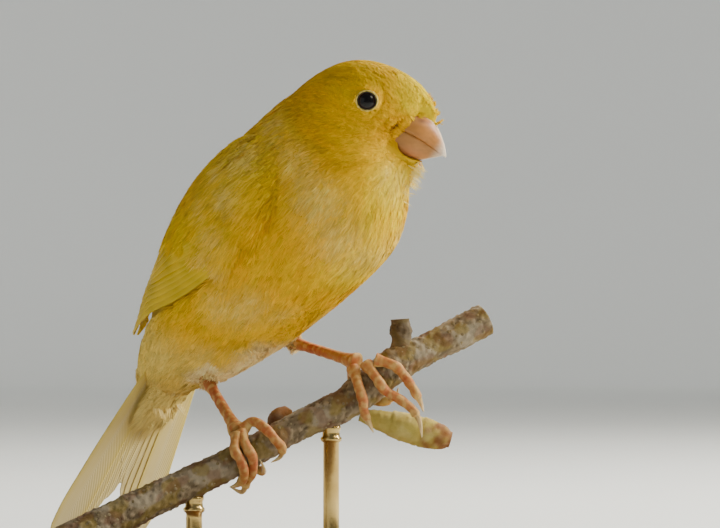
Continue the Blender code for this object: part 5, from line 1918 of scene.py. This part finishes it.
legs = {
    "right": {"side": -1, "foot": 0.4275, "turn": -4.0, "lift": 1.7},
    "left": {"side": 1, "foot": 0.7240, "turn": 6.0, "lift": 1.8},
    "shankRows": 110, "shankSides": 26, "toeRows": 120, "toeSides": 20, "clawSides": 14,
    "radius": 1.05, "toeRadius": 1.02, "clawRadius": 0.62, "toeShare": (0.62, 0.74, 0.74, 0.76),
    "swell": (
        (0.0, 1.30), (0.08, 1.20), (0.2, 1.0), (0.5, 0.98), (0.76, 1.08), (0.88, 1.35), (0.97, 1.75),
        (1.0, 1.6),
    ),
}

# Each toe from the sole out: mm along the branch, degrees round it, lift over the bark in mm
digits = {
    "right": (
        (
            (0.0, -20, 1.8), (-0.6, -70, 1.6), (0.0, -115, 1.4), (0.6, -155, 1.4), (0.8, -190, 1.4),
            (0.6, -222, 1.2), (0.4, -248, 0.9),
        ),
        (
            (0.8, 0, 1.8), (3.4, 8, 2.4), (4.4, 45, 1.6), (4.9, 84, 1.4), (5.4, 113, 1.3), (4.6, 140, 1.2),
            (2.6, 152, 0.9),
        ),
        (
            (0.0, 16, 1.8), (-1.0, 60, 1.6), (-1.0, 96, 1.4), (-2.1, 135, 1.4), (-3.2, 163, 1.6),
            (-4.6, 178, 3.0), (-6.0, 196, 1.4),
        ),
        (
            (-1.0, 18, 1.8), (-3.4, 54, 1.6), (-3.4, 84, 1.4), (-3.6, 117, 1.4), (-4.2, 146, 1.3),
            (-5.4, 162, 1.3), (-6.6, 172, 1.0),
        ),
    ),
    "left": (
        (
            (-0.6, -20, 1.8), (-1.8, -70, 1.6), (-1.6, -115, 1.4), (-0.4, -155, 1.4), (1.2, -185, 1.5),
            (2.2, -203, 1.4), (3.0, -222, 1.1),
        ),
        (
            (-1.8, 14, 1.9), (-3.6, 58, 1.7), (-4.8, 95, 1.6), (-5.6, 117, 1.8), (-5.8, 128, 2.4),
            (-6.0, 139, 3.6), (-6.2, 147, 5.2),
        ),
        (
            (0.6, 30, 2.0), (0.0, 76, 1.8), (0.0, 108, 1.9), (1.0, 128, 4.0), (1.6, 139, 6.8),
            (1.2, 146, 9.2), (0.0, 152, 11.6),
        ),
        (
            (2.6, 38, 1.8), (4.4, 76, 1.6), (5.0, 104, 1.7), (5.0, 124, 3.2), (4.8, 134, 4.8),
            (4.4, 142, 6.4), (3.6, 149, 8.0),
        ),
    ),
}
# the scute tint is a painted highlight on each scute, the groove tint painted shade in the creases between
# scutes and pads
legTints = {
    "skin": (0.46, 0.18, 0.045), "rosy": (0.46, 0.085, 0.030), "toe": (0.52, 0.23, 0.060),
    "scute": (0.68, 0.38, 0.13),
    "pad": (0.72, 0.50, 0.17), "grooveShade": (0.30, 0.10, 0.025), "clawRoot": (0.60, 0.38, 0.12),
    "clawTip": (0.82, 0.66, 0.34),
}


def scaledTube(name, line, radii, toward, pitch, tints, sides):
    # A tube with scutes across its front and pads beneath; toward points to its front at each place
    along, _, _ = lineFrames(line)
    front = unit(toward - along * (toward * along).sum(1)[:, None])
    aside = np.cross(along, front)
    travel = travelled(line) / mm
    turns = roundTurns(sides)
    face = smoothStep(-0.25, 0.35, np.cos(turns))
    phase = travel / pitch % 1.0
    scute = smoothStep(0.0, 0.14, phase) * (1 - 0.55 * phase)
    pads = np.abs(np.sin(math.pi * travel / (pitch * 2.1))) ** 0.7
    relief = face[None] * (scute * 0.07)[:, None] + (1 - face)[None] * (pads * 0.16 - 0.04)[:, None]
    radius = radii[:, None] * (1 + relief)
    points = line[:, None] + ringWays(turns, front, aside) * radius[..., None] * mm
    # painted shade: where the grooves between scutes and pads lie
    grooveShade = face[None] * (1 - smoothStep(0.0, 0.16, phase))[:, None]
    grooveShade = grooveShade + (1 - face)[None] * (1 - smoothStep(0.1, 0.5, pads))[:, None] * 0.8
    colour = tints[:, None] + np.zeros((1, sides, 1))
    # painted highlight across each scute
    colour = mix(
        colour, legTints["scute"],
        face[None] * (smoothStep(0.12, 0.3, phase) * (1 - phase))[:, None] * 0.26,
    )
    colour = mix(colour, legTints["grooveShade"], grooveShade * 0.24)
    cloud = softNoise(points.reshape(-1, 3), 1.6 * mm, seed + 60).reshape(points.shape[:2])
    colour = mix(colour, legTints["pad"], (1 - face)[None] * 0.5 + 0.5 * smoothStep(0.55, 0.85, cloud))
    colour = mix(colour, legTints["rosy"], 0.4 * smoothStep(0.6, 0.9, 1 - cloud))
    return closedTube(name, points, {"tint": colour})


def digitLine(word, number):
    foot = legs[word]["foot"]
    points = [
        onBranch(foot + along / branchLength, turn, lift) for along, turn, lift in digits[word][number]
    ]
    shares = np.linspace(0, 1, len(points))
    return sample(np.column_stack((shares, points)), np.linspace(0, 1, legs["toeRows"]))


legMaterial = attributeMaterial("legSkin", 0.55, 0.18, 900.0, 0.4)
clawMaterial = attributeMaterial("clawHorn", 0.3, 0.45, 600.0, 0.1, subsurface=0.2)


def makeLeg(word):
    leg = legs[word]
    heel = heels[leg["side"]]
    sole = onBranch(leg["foot"], leg["turn"], leg["lift"])
    shares = np.linspace(-0.04, 1.0, legs["shankRows"])
    line = heel + (sole - heel) * shares[:, None]
    radii = legs["radius"] * sample(legs["swell"], shares)[:, 0]
    radii[-4:] *= (0.96, 0.86, 0.66, 0.35)
    red = np.exp(-(((shares - 0.36) / 0.16) ** 2))
    tints = mix(np.tile(legTints["skin"], (len(shares), 1)), legTints["rosy"], red * 0.75)
    tints = mix(tints, legTints["toe"], smoothStep(0.6, 1.0, shares) * 0.6)
    front = np.tile((0.25, -1.0, 0.1), (len(shares), 1))
    shank = scaledTube("shank" + word.title(), line, radii, front, 1.15, tints, legs["shankSides"])
    ride(shank, legMaterial, "leg_skin", "shank_" + word)
    for number in range(4):
        whole = digitLine(word, number)
        cut = round(len(whole) * legs["toeShare"][number])
        toe = whole[:cut + 3]
        share = np.linspace(0, 1, len(toe))
        joints = 0.07 * np.cos(share * 2 * math.pi * (2.0 + 0.5 * number)) * (1 - share * 0.4)
        radii = legs["toeRadius"] * (1.0 - 0.17 * share + joints)
        radii[:10] *= np.linspace(1.25, 1.0, 10)
        radii[-4:] *= (0.95, 0.84, 0.66, 0.4)
        away = np.array([point - nearestOnBranch(point) for point in toe])
        red = 0.55 * np.exp(-(((share - 0.5) / 0.14) ** 2))
        tints = mix(np.tile(legTints["toe"], (len(toe), 1)), legTints["rosy"], red)
        tints = mix(tints, legTints["pad"], 0.6 * smoothStep(0.72, 1.0, share))
        title = word.title() + str(number + 1)
        toe = scaledTube("toe" + title, toe, radii, away, 0.95, tints, legs["toeSides"])
        ride(toe, legMaterial, "leg_skin", f"toe_{word}_{number + 1}")
        claw = whole[cut - 1:]
        share = np.linspace(0, 1, len(claw))
        radii = legs["clawRadius"] * (1 - share) ** 0.75 + 0.05
        _, aside, over = lineFrames(claw)
        turns = roundTurns(legs["clawSides"])
        rings = claw[:, None] + (radii[:, None, None] * mm) * ringWays(turns, 0.82 * aside, over)
        tints = mix(np.tile(legTints["clawRoot"], (len(claw), 1)), legTints["clawTip"], share)
        tints = tints[:, None] + np.zeros((1, len(turns), 1))
        claw = closedTube("claw" + title, rings, {"tint": tints})
        ride(claw, clawMaterial, "claw_horn", f"claw_{word}_{number + 1}")


branchMiddles = sample(branchTable, np.linspace(0, 1, 400))[:, :3] * mm


def nearestOnBranch(point):
    return branchMiddles[np.argmin(np.linalg.norm(branchMiddles - point, axis=1))]


for word in ("right", "left"):
    makeLeg(word)
say("legs ready")


# Stand: turned wooden base and brass rods

stand = {
    "radius": 52.0, "height": 8.5, "rodRadius": 1.6, "rodPlaces": (0.30, 0.62), "sides": 128,
    "rodSides": 40,
}


def turned(name, profile, middle, sides):
    # profile: radius and height in mm, from the middle of the bottom to the middle of the top
    angles = roundTurns(sides)
    rings = [
        [(middle[0] + r * math.cos(a) * mm, middle[1] + r * math.sin(a) * mm, z * mm) for a in angles]
        for r, z in profile
    ]
    return closedTube(name, rings)


def quarter(reach, height, radius, first, last, count):
    # A rounded corner of the base, degrees from level
    corners = [math.radians(corner) for corner in np.linspace(first, last, count)]
    return [(reach + math.cos(corner) * radius, height + math.sin(corner) * radius) for corner in corners]


baseProfile = [
    (1.0, 0.0), (40.0, 0.0), (50.6, 0.0), *quarter(51.0, 1.0, 1.0, -90, 0, 6), (stand["radius"], 3.4),
    *quarter(50.2, 3.6, 1.8, 0, 90, 8), (49.4, 5.5), (49.2, 5.9), *quarter(46.6, 6.1, 2.4, 0, 90, 8),
    (45.0, stand["height"]), (44.6, 8.42), (44.2, 8.42), (43.8, stand["height"]), (20.0, stand["height"]),
    (1.0, stand["height"]),
]


def woodMaterial():
    made, nodeList, links, shader = newMaterial("standWood")
    coordinates = nodeList.new("ShaderNodeTexCoord").outputs["Object"]
    grain = noiseNode(nodeList, links, coordinates, 14.0, 8.0, (1.0, 9.0, 4.0))
    colour = rampNode(nodeList, links, grain.outputs["Fac"], (
        (0.30, (0.060, 0.026, 0.012)), (0.48, (0.145, 0.068, 0.030)),
        (0.56, (0.105, 0.048, 0.022)), (0.72, (0.22, 0.115, 0.052)),
    ))
    pores = noiseNode(nodeList, links, coordinates, 160.0, 3.0, (0.25, 4.0, 2.0))
    dark = rampNode(
        nodeList, links, pores.outputs["Fac"], ((0.36, (0.55, 0.5, 0.45)), (0.46, (1.0, 1.0, 1.0))),
    )
    links.new(mixNode(nodeList, links, "MULTIPLY", 0.8, colour, dark), shader.inputs["Base Color"])
    setInputs(shader, roughness=0.34, coat=0.3, coatRoughness=0.15)
    bumpNode(nodeList, links, pores.outputs["Fac"], 0.2, 0.2 * mm, shader)
    return made


ride(
    turned("standBase", baseProfile, (0.0, 0.0), stand["sides"]), woodMaterial(), "stand_wood",
    "stand_base",
)
brassMaterial = hornMaterial(
    "standBrass", (0.50, 0.34, 0.11), (0.64, 0.46, 0.17), 0.26, 260.0, subsurface=0.0, metallic=1.0,
)
for number, place in enumerate(stand["rodPlaces"], 1):
    middle, radius, _, _, _ = branchFrame(place)
    top = (middle[2] - radius) / mm + 0.25
    r = stand["rodRadius"]
    profile = [
        (0.3, 8.45), (3.6, 8.45), (4.0, 8.7), (4.0, 9.3), (3.5, 9.7), (2.6, 9.9), (2.3, 10.4), (2.5, 10.9),
        (2.1, 11.4), (r, 11.8), (r, 20.0), (r, top - 3.4), (r + 0.45, top - 3.0), (r + 0.55, top - 2.5),
        (r + 0.15, top - 2.1), (r + 0.1, top - 1.2),
        (r + 0.35, top - 0.6), (r + 0.3, top), (0.3, top),
    ]
    rod = turned(f"standRod{number}", profile, middle[:2], stand["rodSides"])
    ride(rod, brassMaterial, "stand_brass", f"stand_rod_{number}")
say("stand ready")
